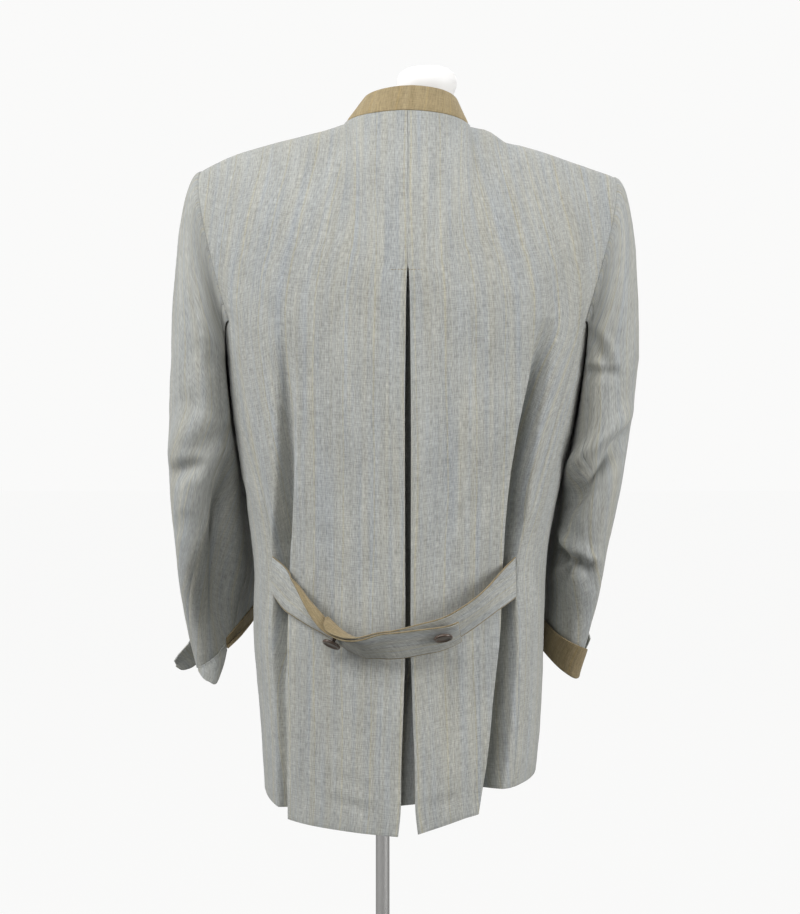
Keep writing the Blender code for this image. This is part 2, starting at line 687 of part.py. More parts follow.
LINEN = material("linen_grey", (0.37, 0.38, 0.35), 0.9)
OLIVE = material("linen_olive", (0.42, 0.33, 0.20), 0.9)
HORN = material("horn", (0.10, 0.065, 0.045), 0.35)
WHITE = material("form_white", (0.86, 0.85, 0.83), 0.5)
CHROME = material("chrome", (0.75, 0.75, 0.76), 0.15, 1.0)

# Body: back panels with their turned centre edges, strip behind the pleat, side panels and lapped fronts.
LOWER_ROWS = spread(0.0, 1.0, 13)
UPPER_ROWS = spread(1.0, 2.0, BACK_STATION)[1:]
NECK_COLUMNS = spread(0.0, NECK_SHARE, 6)
for side, word in ((-1, "left"), (1, "right")):
    nick = SEAM / 2 / PANEL_WIDTH
    knee = ridge_share(side, ARMPIT)
    edge = (PLEAT[0].gap / 2 + FOLD_RADIUS) / seams(side, ARMPIT)[0]
    across = NECK_COLUMNS[1:] + spread(NECK_SHARE, knee, 3)[1:]
    columns = [-2.0, -1.5] + spread(-1.0, 0.0, 4) + [(u - edge) / (knee - edge) * knee for u in across]
    columns += spread(knee, 1.0, 10)[1:-1] + [1 - nick]
    point = lambda c, v, s=side: back_point(s, c, v)
    cloth("back_" + word, point, columns, LOWER_ROWS + UPPER_ROWS, side, LINEN)
    columns = spread(nick, 1 - nick, FRONT_STATION - BACK_STATION)
    point = lambda u, v, s=side: side_surface(s, u, v)
    cloth("side_" + word, point, columns, LOWER_ROWS, side, LINEN)
    lap = FRONT_LAP / (seams(side, ARMPIT)[2] - seams(side, ARMPIT)[1])
    columns = [-lap, -lap / 2] + NECK_COLUMNS + spread(NECK_SHARE, 1 - nick, 4)[1:]
    point = lambda u, v, s=side: front_point(s, u, v)
    cloth("front_" + word, point, columns, LOWER_ROWS + UPPER_ROWS, -side, LINEN)
underlay_low = UNDERLAY_HEM - UNDERLAY_ROW_APART
underlay_rows = [v for v in LOWER_ROWS + UPPER_ROWS if UNDERLAY_TOP < row_drop(1, v) < underlay_low]
lowest = (HEM[1].centre_back - UNDERLAY_HEM) / (HEM[1].centre_back - ARMPIT)
cloth("pleat_underlay", underlay_point, spread(-1.0, 1.0, 4), [lowest] + underlay_rows, 1, LINEN)

# Stand collar in one band from front edge to front edge.
collar_end = 1 - COLLAR_OPENING
collar_columns = [-collar_end] + spread(-1.0, 1.0, 24)[1:-1] + [collar_end]
cloth("collar", collar_point, collar_columns, spread(0.0, 1.0, 3), 1, OLIVE, COLLAR_CLOTH)

# Two-piece sleeves, turned cuffs and the corners at the cuff vents.
SLEEVE_ROWS = spread(0.0, 1.0, 6) + spread(1.0, 2.0, 10)[1:]
for side, word in ((-1, "left"), (1, "right")):
    point = lambda j, r, s=side: sleeve_point(s, j, r)
    elbow = math.floor(ELBOW_SEAM) + 1
    under = [ELBOW_SEAM + SLEEVE_NICK, *range(elbow, FOREARM_SEAM), FOREARM_SEAM - SLEEVE_NICK]
    last = STATIONS + ELBOW_SEAM - SLEEVE_NICK
    top = [FOREARM_SEAM + SLEEVE_NICK, *range(FOREARM_SEAM + 1, STATIONS + elbow), last]
    cloth("sleeve_under_" + word, point, under, SLEEVE_ROWS, side, LINEN)
    cloth("sleeve_top_" + word, point, top, SLEEVE_ROWS, side, LINEN)
for name, (side, rows) in CUFFS.items():
    point = lambda j, h, s=side, r=rows: cuff_point(s, r, j, h)
    first, last = rows[0].station, rows[-1].station
    columns = [first, *range(math.floor(first) + 1, math.ceil(last)), last]
    surface = LINEN if name.endswith("tip") else OLIVE
    cloth(name, point, columns, spread(0.0, 1.0, 4), -side, surface, CUFF_CLOTH)

# Half belt: two straps, the left over the right, each a face on a slightly wider backing.
RUNS = spread(BELT_START, STRAP_LENGTH - BELT_START, BELT_ROWS)
LEFT_RUNS = [run for run in RUNS if run < BELT_LEFT_END - RUN_APART] + [BELT_LEFT_END]
RIGHT_RUNS = [BELT_RIGHT_END] + [run for run in RUNS if run > BELT_RIGHT_END + RUN_APART]
depth = 0.0
for word, runs, steeper in (("left", LEFT_RUNS, 0.0), ("right", RIGHT_RUNS, STEEPER)):
    for part, edge, thick, surface in (
        ("face", 0.0, BELT_CLOTH, LINEN),
        ("backing", BACKING_EDGE, BACKING_CLOTH, OLIVE),
    ):
        grids = []
        for level in (depth, depth + thick):
            grid = []
            for run in runs:
                half = BELT_HALF
                if word == "right":
                    half *= min(1.0, STRAP_TIP_SHARE + STRAP_TIP_WIDENING * (run - BELT_RIGHT_END))
                across = spread(-half, half, BELT_ACROSS)
                if edge:
                    across = [across[0] - edge, *across, across[-1] + edge]
                grid.append([belt_point(run, q, level, steeper) for q in across])
            grids.append(grid)
        wall("belt_" + word + "_" + part, grids[0], grids[1], surface)
        depth += thick + SEAM
    depth += LAYER_GAP

# Horn buttons on the belt and down the left front edge.
for name, run in BELT_BUTTON_RUNS.items():
    out = (belt_point(run, 0.0, -0.001) - belt_point(run, 0.0, 0.0)).normalized()
    button(name, belt_point(run, 0.0, -SEAM), out, BUTTON_SHANK)
for number, v in enumerate(FRONT_BUTTON_ROWS, 1):
    out = facing(lambda a, b: front_point(-1, a, b), 0.0, v, 1)
    button("front_button_%d" % number, front_point(-1, 0.0, v) + out * SEAM, out, FRONT_BUTTON_SHANK)

# Dress form: one smooth closed torso with neck and a socket for the pole underneath.
rings = []
for row in FORM:
    ring = []
    for i in range(FORM_SIDES):
        s, c = math.sin(math.tau * i / FORM_SIDES), math.cos(math.tau * i / FORM_SIDES)
        x = row.half_width * math.copysign(abs(s) ** (2 / FORM_SQUARE), s)
        y = -(row.back if c > 0 else row.front) * math.copysign(abs(c) ** (2 / FORM_SQUARE), c)
        ring.append(world(row.x + x, y, row.drop + row.tilt * x))
    rings.append(ring)
form_bottom = NECK_Z - FORM[-1].drop
for height in (form_bottom, form_bottom + SOCKET_DEEP):
    radius = POLE_RADIUS + SEAM
    angles = [math.tau * i / FORM_SIDES for i in range(FORM_SIDES)]
    rings.append([Vector((radius * math.sin(a), -radius * math.cos(a), height)) for a in angles])
shape = bmesh.new()
loops = [[shape.verts.new(p) for p in ring] for ring in rings]
for upper, lower in zip(loops, loops[1:]):
    for i in range(FORM_SIDES):
        k = (i + 1) % FORM_SIDES
        shape.faces.new((upper[i], upper[k], lower[k], lower[i]))
shape.faces.new(loops[0])
shape.faces.new(loops[-1])
finish("form_torso", shape, WHITE, 60)

# Pole in the sockets of the torso and of the base's boss.
pole = ((0.0, BOSS_FLOOR + SEAM), (POLE_RADIUS, BOSS_FLOOR + SEAM))
pole_top = form_bottom + SOCKET_DEEP - SEAM
lathe("form_pole", (*pole, (POLE_RADIUS, pole_top), (0.0, pole_top)), POLE_SIDES, CHROME)
base = (
    (0.0, 0.0),
    (BASE_RADIUS - 0.002, 0.0),
    (BASE_RADIUS, 0.002),
    (BASE_RADIUS, BASE_THICK - 0.003),
    (BASE_RADIUS - 0.004, BASE_THICK),
    (BOSS_RADIUS + 0.004, BASE_THICK + 0.002),
    (BOSS_RADIUS, BASE_THICK + 0.006),
    (BOSS_RADIUS, BOSS_TOP - 0.002),
    (BOSS_RADIUS - 0.002, BOSS_TOP),
    (POLE_RADIUS + SEAM, BOSS_TOP),
    (POLE_RADIUS + SEAM, BOSS_FLOOR),
    (0.0, BOSS_FLOOR),
)
lathe("form_base", base, BASE_SIDES, CHROME)
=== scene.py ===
import math
from bisect import bisect_right
from collections import namedtuple
from functools import lru_cache, partial

import bmesh
import bpy
import numpy as np
from mathutils import Matrix, Vector, noise

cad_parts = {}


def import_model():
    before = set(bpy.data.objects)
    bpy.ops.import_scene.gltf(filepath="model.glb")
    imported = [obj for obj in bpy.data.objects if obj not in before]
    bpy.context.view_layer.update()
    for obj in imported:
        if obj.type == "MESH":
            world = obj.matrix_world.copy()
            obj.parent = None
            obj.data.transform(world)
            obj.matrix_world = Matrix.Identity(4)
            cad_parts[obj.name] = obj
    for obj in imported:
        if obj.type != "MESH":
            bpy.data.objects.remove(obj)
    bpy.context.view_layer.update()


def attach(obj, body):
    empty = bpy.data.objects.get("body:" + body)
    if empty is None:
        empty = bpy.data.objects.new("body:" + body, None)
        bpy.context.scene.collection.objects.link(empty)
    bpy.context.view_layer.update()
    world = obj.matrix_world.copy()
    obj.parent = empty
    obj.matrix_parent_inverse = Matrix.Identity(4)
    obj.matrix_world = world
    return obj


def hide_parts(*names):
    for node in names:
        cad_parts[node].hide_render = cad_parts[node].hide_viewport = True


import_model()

# Photographer's set: a level camera with a portrait lens before the jacket's back, a pale floor and a white
# room. Large soft boxes stand at both sides, the left one higher, with weaker ones over the camera and behind
# the form.
PLANE_Y = -0.14
CAMERA_AWAY = 2.4
CAMERA_X = 0.0202
CAMERA_Z = 0.655
METRES_PER_PIXEL = 0.0011
IMAGE_TALL = 914
SENSOR = 36.0
FLOOR_HALF = 40.0
FLOOR_PARTS = 8
FLOOR_GLOW = 0.95
camera = bpy.data.objects.new("camera", bpy.data.cameras.new("camera"))
camera.data.sensor_fit = "VERTICAL"
camera.data.sensor_height = SENSOR
camera.data.lens = SENSOR * CAMERA_AWAY / METRES_PER_PIXEL / IMAGE_TALL
camera.location = (CAMERA_X, PLANE_Y - CAMERA_AWAY, CAMERA_Z)
camera.rotation_euler = (math.pi / 2, 0.0, 0.0)
bpy.context.scene.collection.objects.link(camera)
bpy.context.scene.camera = camera
bpy.context.scene.view_settings.view_transform = "Standard"


def start_look(name):
    """New material with its node tree and its shader."""
    look = bpy.data.materials.new(name)
    look.use_nodes = True
    return look, look.node_tree, look.node_tree.nodes["Principled BSDF"]


def place_mesh(name, shape, look, ending=""):
    """Object of a finished bmesh, at the origin with its place in its mesh."""
    mesh = bpy.data.meshes.new(name)
    shape.to_mesh(mesh)
    shape.free()
    mesh.materials.append(look)
    piece = bpy.data.objects.new(name + ending, mesh)
    bpy.context.scene.collection.objects.link(piece)
    return piece


def map_range(tree, source, low, high, bottom, top):
    """Socket that maps a source between low and high to values between bottom and top."""
    step = tree.nodes.new("ShaderNodeMapRange")
    for key, value in (("From Min", low), ("From Max", high), ("To Min", bottom), ("To Max", top)):
        step.inputs[key].default_value = value
    tree.links.new(source, step.inputs["Value"])
    return step.outputs["Result"]


floor_paper, floor_tree, floor_look = start_look("floor paper")
floor_look.inputs["Base Color"].default_value = (0.20, 0.20, 0.197, 1.0)
floor_look.inputs["Roughness"].default_value = 0.9
floor_glow = floor_tree.nodes.new("ShaderNodeEmission")
floor_glow.inputs["Color"].default_value = (0.985, 0.985, 0.980, 1.0)
floor_ray = floor_tree.nodes.new("ShaderNodeLightPath")
floor_seen = map_range(floor_tree, floor_ray.outputs["Is Camera Ray"], 0.0, 1.0, 0.0, FLOOR_GLOW)
floor_mix = floor_tree.nodes.new("ShaderNodeMixShader")
floor_tree.links.new(floor_seen, floor_mix.inputs["Fac"])
floor_tree.links.new(floor_look.outputs["BSDF"], floor_mix.inputs[1])
floor_tree.links.new(floor_glow.outputs["Emission"], floor_mix.inputs[2])
floor_tree.links.new(floor_mix.outputs["Shader"], floor_tree.nodes["Material Output"].inputs["Surface"])
floor_shape = bmesh.new()
bmesh.ops.create_grid(floor_shape, x_segments=FLOOR_PARTS, y_segments=FLOOR_PARTS, size=FLOOR_HALF)
place_mesh("floor", floor_shape, floor_paper)

room = bpy.data.worlds.new("white room")
room.use_nodes = True
bpy.context.scene.world = room
room_nodes, room_links = room.node_tree.nodes, room.node_tree.links
seen_white = room_nodes.new("ShaderNodeBackground")
seen_white.inputs["Color"].default_value = (0.955, 0.955, 0.950, 1.0)
soft_light = room_nodes["Background"]
soft_light.inputs["Color"].default_value = (1.0, 1.0, 1.0, 1.0)
towards = room_nodes.new("ShaderNodeTexCoord")
compass = room_nodes.new("ShaderNodeSeparateXYZ")
room_links.new(towards.outputs["Generated"], compass.inputs["Vector"])
glow = room_nodes.new("ShaderNodeMath")
glow.operation = "MULTIPLY"
Fade = namedtuple("Fade", "axis low high dim bright")
for number, fade in enumerate((Fade("Y", -1.0, 1.0, 0.12, 1.05), Fade("Z", -0.2, 0.8, 0.35, 1.15))):
    shading = map_range(room.node_tree, compass.outputs[fade.axis], fade.low, fade.high, fade.dim, fade.bright)
    room_links.new(shading, glow.inputs[number])
room_links.new(glow.outputs["Value"], soft_light.inputs["Strength"])
which_ray = room_nodes.new("ShaderNodeLightPath")
room_mix = room_nodes.new("ShaderNodeMixShader")
room_links.new(which_ray.outputs["Is Camera Ray"], room_mix.inputs["Fac"])
room_links.new(soft_light.outputs["Background"], room_mix.inputs[1])
room_links.new(seen_white.outputs["Background"], room_mix.inputs[2])
room_links.new(room_mix.outputs["Shader"], room_nodes["World Output"].inputs["Surface"])

SoftBox = namedtuple("SoftBox", "name place aim size power")
for box in (
    SoftBox("key_box", (-0.7, -2.0, 2.4), (0.0, 0.0, 0.70), 1.1, 25),
    SoftBox("left_box", (-2.45, -1.3, 2.05), (0.0, 0.0, 0.65), 1.4, 62),
    SoftBox("right_box", (2.45, -1.3, 1.05), (0.0, 0.0, 0.60), 1.4, 51),
    SoftBox("rear_box", (0.4, 2.8, 2.4), (0.0, 0.0, 0.75), 1.8, 22),
):
    lamp = bpy.data.lights.new(box.name, "AREA")
    lamp.shape = "SQUARE"
    lamp.size = box.size
    lamp.energy = box.power
    light = bpy.data.objects.new(box.name, lamp)
    light.location = box.place
    light.rotation_euler = (Vector(box.aim) - Vector(box.place)).to_track_quat("-Z", "Y").to_euler()
    bpy.context.scene.collection.objects.link(light)

# Back panels of slubbed linen, joined by the centre-back seam and, lower down, turned under as the two edges of
# an inverted pleat. The belt draws a long trough into each beside its side-back seam.
JACKET_X = 0.029
NECK_Z = 1.045
CLOTH = 0.0018
SEAM = 0.0001
ARMPIT = 0.235
ARMPIT_DIP = 0.012
FRONT_SEAM_Y = 0.055
PANEL_WIDTH = 0.150
RING_SAMPLES = 241
Section = namedtuple("Section", "drop half_width back front square shift left_seam right_seam")
SECTIONS = (
    Section(0.235, 0.212, 0.130, 0.145, 2.8, -0.001, 0.204, 0.204),
    Section(0.340, 0.199, 0.132, 0.143, 2.6, -0.004, 0.187, 0.172),
    Section(0.430, 0.182, 0.130, 0.140, 2.5, -0.007, 0.159, 0.150),
    Section(0.510, 0.170, 0.129, 0.138, 2.4, -0.009, 0.146, 0.128),
    Section(0.600, 0.168, 0.133, 0.140, 2.4, -0.010, 0.146, 0.131),
    Section(0.700, 0.162, 0.140, 0.146, 2.3, -0.008, 0.142, 0.127),
    Section(0.810, 0.152, 0.146, 0.150, 2.2, -0.011, 0.138, 0.120),
)
SIDES = {-1: "left", 1: "right"}
SEAM_FIELD = {-1: "left_seam", 1: "right_seam"}
Hem = namedtuple("Hem", "centre_back ridge back_seam front_seam centre_front")
HEM_STEP = 0.38
HEM = {-1: Hem(0.808, 0.797, 0.786, 0.756, 0.750), 1: Hem(0.808, 0.785, 0.760, 0.742, 0.750)}
TROUGH_WIDE = {-1: 0.024, 1: 0.032}
TROUGH_WALL = {-1: 0.64, 1: 0.34}
TROUGH_RISE = {-1: 0.76, 1: 0.48}
TROUGH_DEEPER = {-1: 1.3, 1: 1.7}
TROUGH_OVERHANG = {-1: 0.001, 1: 0.005}
OVERHANG_FROM = 0.35
OVERHANG_FULL = 0.02
Trough = namedtuple("Trough", "drop ridge depth")
TROUGHS = {
    -1: (
        Trough(0.235, 0.1220, 0.000),
        Trough(0.330, 0.1200, 0.009),
        Trough(0.430, 0.1210, 0.018),
        Trough(0.510, 0.1250, 0.023),
        Trough(0.580, 0.1270, 0.019),
        Trough(0.650, 0.1270, 0.009),
        Trough(0.740, 0.1270, 0.008),
        Trough(0.810, 0.1270, 0.010),
    ),
    1: (
        Trough(0.235, 0.1420, 0.000),
        Trough(0.285, 0.1335, 0.010),
        Trough(0.360, 0.1195, 0.020),
        Trough(0.430, 0.1100, 0.026),
        Trough(0.510, 0.1050, 0.027),
        Trough(0.580, 0.1020, 0.028),
        Trough(0.660, 0.0930, 0.028),
        Trough(0.730, 0.0850, 0.026),
        Trough(0.810, 0.0720, 0.024),
    ),
}
Pleat = namedtuple("Pleat", "drop gap reach dive fold")
PLEAT = (
    Pleat(0.000, 0.0000, 0.008, 0, 0.0003),
    Pleat(0.177, 0.0000, 0.008, 4, 0.0003),
    Pleat(0.185, 0.0016, 0.011, 30, 0.0011),
    Pleat(0.215, 0.0040, 0.020, 36, 0.0018),
    Pleat(0.260, 0.0052, 0.030, 38, 0.0022),
    Pleat(0.350, 0.0068, 0.038, 38, 0.0022),
    Pleat(0.500, 0.0062, 0.038, 38, 0.0022),
    Pleat(0.600, 0.0060, 0.038, 38, 0.0022),
    Pleat(0.660, 0.0095, 0.038, 28, 0.0022),
    Pleat(0.730, 0.0145, 0.038, 17, 0.0022),
    Pleat(0.780, 0.0160, 0.038, 13, 0.0022),
    Pleat(0.810, 0.0220, 0.038, 12, 0.0022),
)
FOLD_UNDER = 0.0021
CENTRE_NEAR = 0.03
NECK_HALF = 0.0725
NECK_BACK_Y = -0.060
NECK_BACK_DROP = -0.0045
NECK_FRONT_Y = 0.078
NECK_FRONT_DROP = 0.085
NECK_SHARE = 0.34
NAPE_SHARE = 0.10
NAPE_CURVE = 2.2
SHOULDER_HALF = 0.239
SHOULDER_Y = 0.004
ARMHOLE_BULGE = 0.008
SHOULDER_SKEW = 1.8
Shoulder = namedtuple("Shoulder", "neck_drop tip_drop arch")
SHOULDERS = {-1: Shoulder(0.0030, 0.057, 0.006), 1: Shoulder(0.0060, 0.064, 0.000)}
Dent = namedtuple("Dent", "x wide deep")
RIGHT_DENTS = (Dent(0.091, 0.012, -0.0030), Dent(0.114, 0.009, 0.0045), Dent(0.128, 0.014, 0.0020))
DENT_LONG = 0.035


def along(table, field, at):
    """One column of a table on a smooth curve through its rows, whose first column is the place."""
    places = [row[0] for row in table]
    values = [getattr(row, field) for row in table]
    if at <= places[0]:
        return values[0]
    if at >= places[-1]:
        return values[-1]
    i = bisect_right(places, at) - 1
    span = places[i + 1] - places[i]
    rise = values[i + 1] - values[i]
    start = end = rise / span
    if i > 0:
        start = (values[i + 1] - values[i - 1]) / (places[i + 1] - places[i - 1])
    if i + 2 < len(places):
        end = (values[i + 2] - values[i]) / (places[i + 2] - places[i])
    t = (at - places[i]) / span
    bend = (1 - t) * (start * span - rise) - t * (end * span - rise)
    return values[i] + t * rise + t * (1 - t) * bend


def ease(t):
    """Smooth step from 0 to 1."""
    t = min(max(t, 0.0), 1.0)
    return t * t * (3 - 2 * t)


def mix(a, b, t):
    return a + (b - a) * t


def spread(first, last, count):
    return [mix(first, last, i / count) for i in range(count + 1)]


def refine(places, parts):
    """The same list with each step cut into equal parts."""
    finer = [mix(a, b, i / parts) for a, b in zip(places, places[1:]) for i in range(parts)]
    return finer + [places[-1]]


def world(x, y, drop):
    return Vector((JACKET_X + x, y, NECK_Z - drop))


@lru_cache(maxsize=3000)
def half_ring(drop):
    """x, y and running length of half a plain body section, from the centre back to the centre front."""
    angle = np.linspace(0.0, math.pi, RING_SAMPLES)
    power = 2 / along(SECTIONS, "square", drop)
    s, c = np.sin(angle), np.cos(angle)
    depth = np.where(c > 0, along(SECTIONS, "back", drop), along(SECTIONS, "front", drop))
    x = along(SECTIONS, "half_width", drop) * np.abs(s) ** power
    y = -np.sign(c) * depth * np.abs(c) ** power
    length = np.concatenate(([0.0], np.cumsum(np.hypot(np.diff(x), np.diff(y)))))
    return x, y, length


@lru_cache(maxsize=3000)
def seams(side, drop):
    """Distances round the section to the side-back seam, the front seam and the centre front."""
    x, y, length = half_ring(drop)
    half = RING_SAMPLES // 2
    back = np.interp(along(SECTIONS, SEAM_FIELD[side], drop), x[:half], length[:half])
    return back, np.interp(FRONT_SEAM_Y, y, length), length[-1]


@lru_cache(maxsize=3000)
def ridge_share(side, drop):
    """Place of the trough's ridge as a share of the way from the centre back to the side-back seam."""
    x, _, length = half_ring(drop)
    half = RING_SAMPLES // 2
    return np.interp(along(TROUGHS[side], "ridge", drop), x[:half], length[:half]) / seams(side, drop)[0]


def ring_point(side, distance, drop):
    """Jacket-frame x, y and drop at a distance round the section from the centre back, with the troughs."""
    x, y, length = half_ring(drop)
    step = 0.002
    px, py = np.interp(distance, length, x), np.interp(distance, length, y)
    tx = np.interp(distance + step, length, x) - np.interp(distance - step, length, x)
    ty = np.interp(distance + step, length, y) - np.interp(distance - step, length, y)
    inset = over = 0.0
    if py < 0:
        ridge = along(TROUGHS[side], "ridge", drop)
        share = (px - ridge) / min(along(SECTIONS, SEAM_FIELD[side], drop) - ridge, TROUGH_WIDE[side])
        deep = TROUGH_DEEPER[side] * along(TROUGHS[side], "depth", drop)
        wall, rise = TROUGH_WALL[side], TROUGH_RISE[side]
        inset = deep * ease(share / wall) * (1 - ease((share - rise) / (1 - rise)))
        over = TROUGH_OVERHANG[side] * min(1.0, deep / OVERHANG_FULL)
        over *= ease(1 + share / OVERHANG_FROM) * (1 - ease(share / wall))
    size = math.hypot(tx, ty)
    hang = along(SECTIONS, "shift", drop) * (px / along(SECTIONS, "half_width", drop)) ** 2
    px, py = px - (inset * ty - over * tx) / size, py + (inset * tx + over * ty) / size
    return side * px + hang, py, drop


def top_edge(side, u, front):
    """x, y and drop of the neckline, then of the shoulder seam, from the centre to the shoulder tip."""
    lap = SEAM / 2 if front else -SEAM / 2
    shoulder = SHOULDERS[side]
    if u < NECK_SHARE:
        s, c = math.sin(math.pi / 2 * u / NECK_SHARE), math.cos(math.pi / 2 * u / NECK_SHARE)
        depth, centre = (NECK_FRONT_Y, NECK_FRONT_DROP) if front else (NECK_BACK_Y, NECK_BACK_DROP)
        return NECK_HALF * s, mix(SHOULDER_Y, depth, c) + lap, mix(shoulder.neck_drop, centre, c)
    t = (u - NECK_SHARE) / (1 - NECK_SHARE)
    arch = shoulder.arch * math.sin(math.pi * min(t, 1.0) ** SHOULDER_SKEW)
    drop = mix(shoulder.neck_drop, shoulder.tip_drop, t) - arch
    return mix(NECK_HALF, SHOULDER_HALF, t), SHOULDER_Y + lap, drop


def yoke_point(side, u, t, front):
    """Upper back or front from the armpit section (t = 0) to the neckline and shoulder seam (t = 1)."""
    back, fore, centre = seams(side, ARMPIT)
    low = ring_point(side, centre - u * (centre - fore) if front else u * back, ARMPIT)
    top = top_edge(side, u, front)
    round_over = ease((u - NAPE_SHARE) / (NECK_SHARE - NAPE_SHARE))
    rise = mix(t, math.sin(math.pi / 2 * t), round_over)
    lean = mix(1 - abs(t) ** NAPE_CURVE, math.cos(math.pi / 2 * t), round_over)
    bulge = 0.0 if front else ARMHOLE_BULGE * u * u * math.sin(math.pi * t)
    x = mix(side * low[0], top[0], rise) + bulge
    y = mix(top[1], low[1], lean)
    drop = mix(ARMPIT, top[2], rise)
    if side > 0:
        near = math.exp(-(((y - SHOULDER_Y) / DENT_LONG) ** 2))
        drop += near * sum(dent.deep * math.exp(-(((x - dent.x) / dent.wide) ** 2)) for dent in RIGHT_DENTS)
    return world(side * x, y, drop)


def back_surface(side, u, v):
    """Back panel: u from the centre back to the seam, v from the hem (0) by the armpit (1) to the top (2)."""
    if v > 1:
        return yoke_point(side, u, v - 1, False)
    hem = HEM[side]
    knee = ridge_share(side, ARMPIT)
    beyond = (u - knee) / (1 - knee)
    low = mix(hem.centre_back, hem.ridge, u / knee)
    if beyond > 0:
        low = mix(hem.ridge, hem.back_seam, ease(beyond / HEM_STEP))
    drop = mix(low, ARMPIT, v)
    here = ridge_share(side, drop)
    share = mix(here, 1.0, beyond) if beyond > 0 else u * here / knee
    return world(*ring_point(side, share * seams(side, drop)[0], drop))


def facing(point, u, v, sign):
    """Unit outward direction of a surface, from its slopes."""
    step = 1e-3
    across = point(u + step, v) - point(u - step, v)
    up = point(u, v + step) - point(u, v - step)
    return across.cross(up).normalized() * sign


def row_drop(side, v):
    """Drop of the centre back at a row of the back panel."""
    if v > 1:
        return ARMPIT * (2 - v)
    return mix(HEM[side].centre_back, ARMPIT, v)


@lru_cache(maxsize=3000)
def centre_out(side, v):
    """Outward direction beside the centre back, with no sideways part."""
    out = facing(partial(back_surface, side), CENTRE_NEAR, v, side)
    return Vector((0.0, out.y, out.z)).normalized()


def back_point(side, c, v):
    """Back panel with its turned edge: c over 0 is the panel, -1 to 0 the fold, under -1 turned in."""
    drop = row_drop(side, v)
    level = max(drop, ARMPIT)
    knee = ridge_share(side, ARMPIT)
    scale = knee / ridge_share(side, level) / seams(side, level)[0]
    fold = along(PLEAT, "fold", drop)
    under = max(fold, FOLD_UNDER)
    edge = along(PLEAT, "gap", drop) / 2 + fold
    if c >= 0:
        return back_surface(side, mix(edge * scale, knee, c / knee) if c < knee else c, v)
    turned = math.pi * min(-c, 1.0)
    reach = along(PLEAT, "reach", drop) * max(-1 - c, 0.0)
    dive = math.radians(along(PLEAT, "dive", drop))
    aside = edge - fold * math.sin(turned) + reach * math.cos(dive)
    deep = under * (1 - math.cos(turned)) + reach * math.sin(dive)
    return back_surface(side, aside * scale, v) - centre_out(side, v) * deep


Crease = namedtuple("Crease", "face across drop across_end drop_end bow wide deep lip")
Face = namedtuple("Face", "axis middle towards")
FACES = {
    "back": Face(0, JACKET_X, (0, -1, 0)),
    "front": Face(0, JACKET_X, (0, 1, 0)),
    "left": Face(1, 0.0, (-1, 0, 0)),
    "right": Face(1, 0.0, (1, 0, 0)),
}
CREASE_FADE = 0.35
CREASE_TURN = 2.2
LIP_AWAY = 1.7


def crease_rise(place, out, creases):
    """Height of the creases over a sheet: soft troughs along bowed lines, with a lip along the upper side."""
    total = np.zeros(place.shape[:2])
    for row in creases:
        face = FACES[row.face]
        start = np.array((row.across, row.drop))
        run = np.array((row.across_end, row.drop_end)) - start
        length = np.hypot(*run)
        run /= length
        upward = np.array((run[1], -run[0])) * (1 if run[0] >= 0 else -1)
        flat = np.stack((place[..., face.axis] - face.middle, NECK_Z - place[..., 2]), axis=-1) - start
        t = flat @ run / length
        inside = np.clip(np.minimum(t, 1 - t) / CREASE_FADE, 0.0, 1.0)
        inside = inside * inside * (3 - 2 * inside)
        off = (flat @ upward - row.bow * 4 * t * (1 - t)) / row.wide
        seen = np.clip(out @ np.array(face.towards) * CREASE_TURN, 0.0, 1.0)
        shape = row.lip * np.exp(-((off - LIP_AWAY) ** 2)) - np.exp(-(off**2))
        total += seen * inside * row.deep * shape
    return total


ROLL_DEEP = 0.0007
ROLL_WIDE = 0.0026
ROLL_UNEVEN = 0.8
RIPPLES_PER_METRE = 17.0
RIPPLE_HIGH = 0.0011
FINE_RIPPLES_PER_METRE = 52.0
FINE_RIPPLE_HIGH = 0.00035


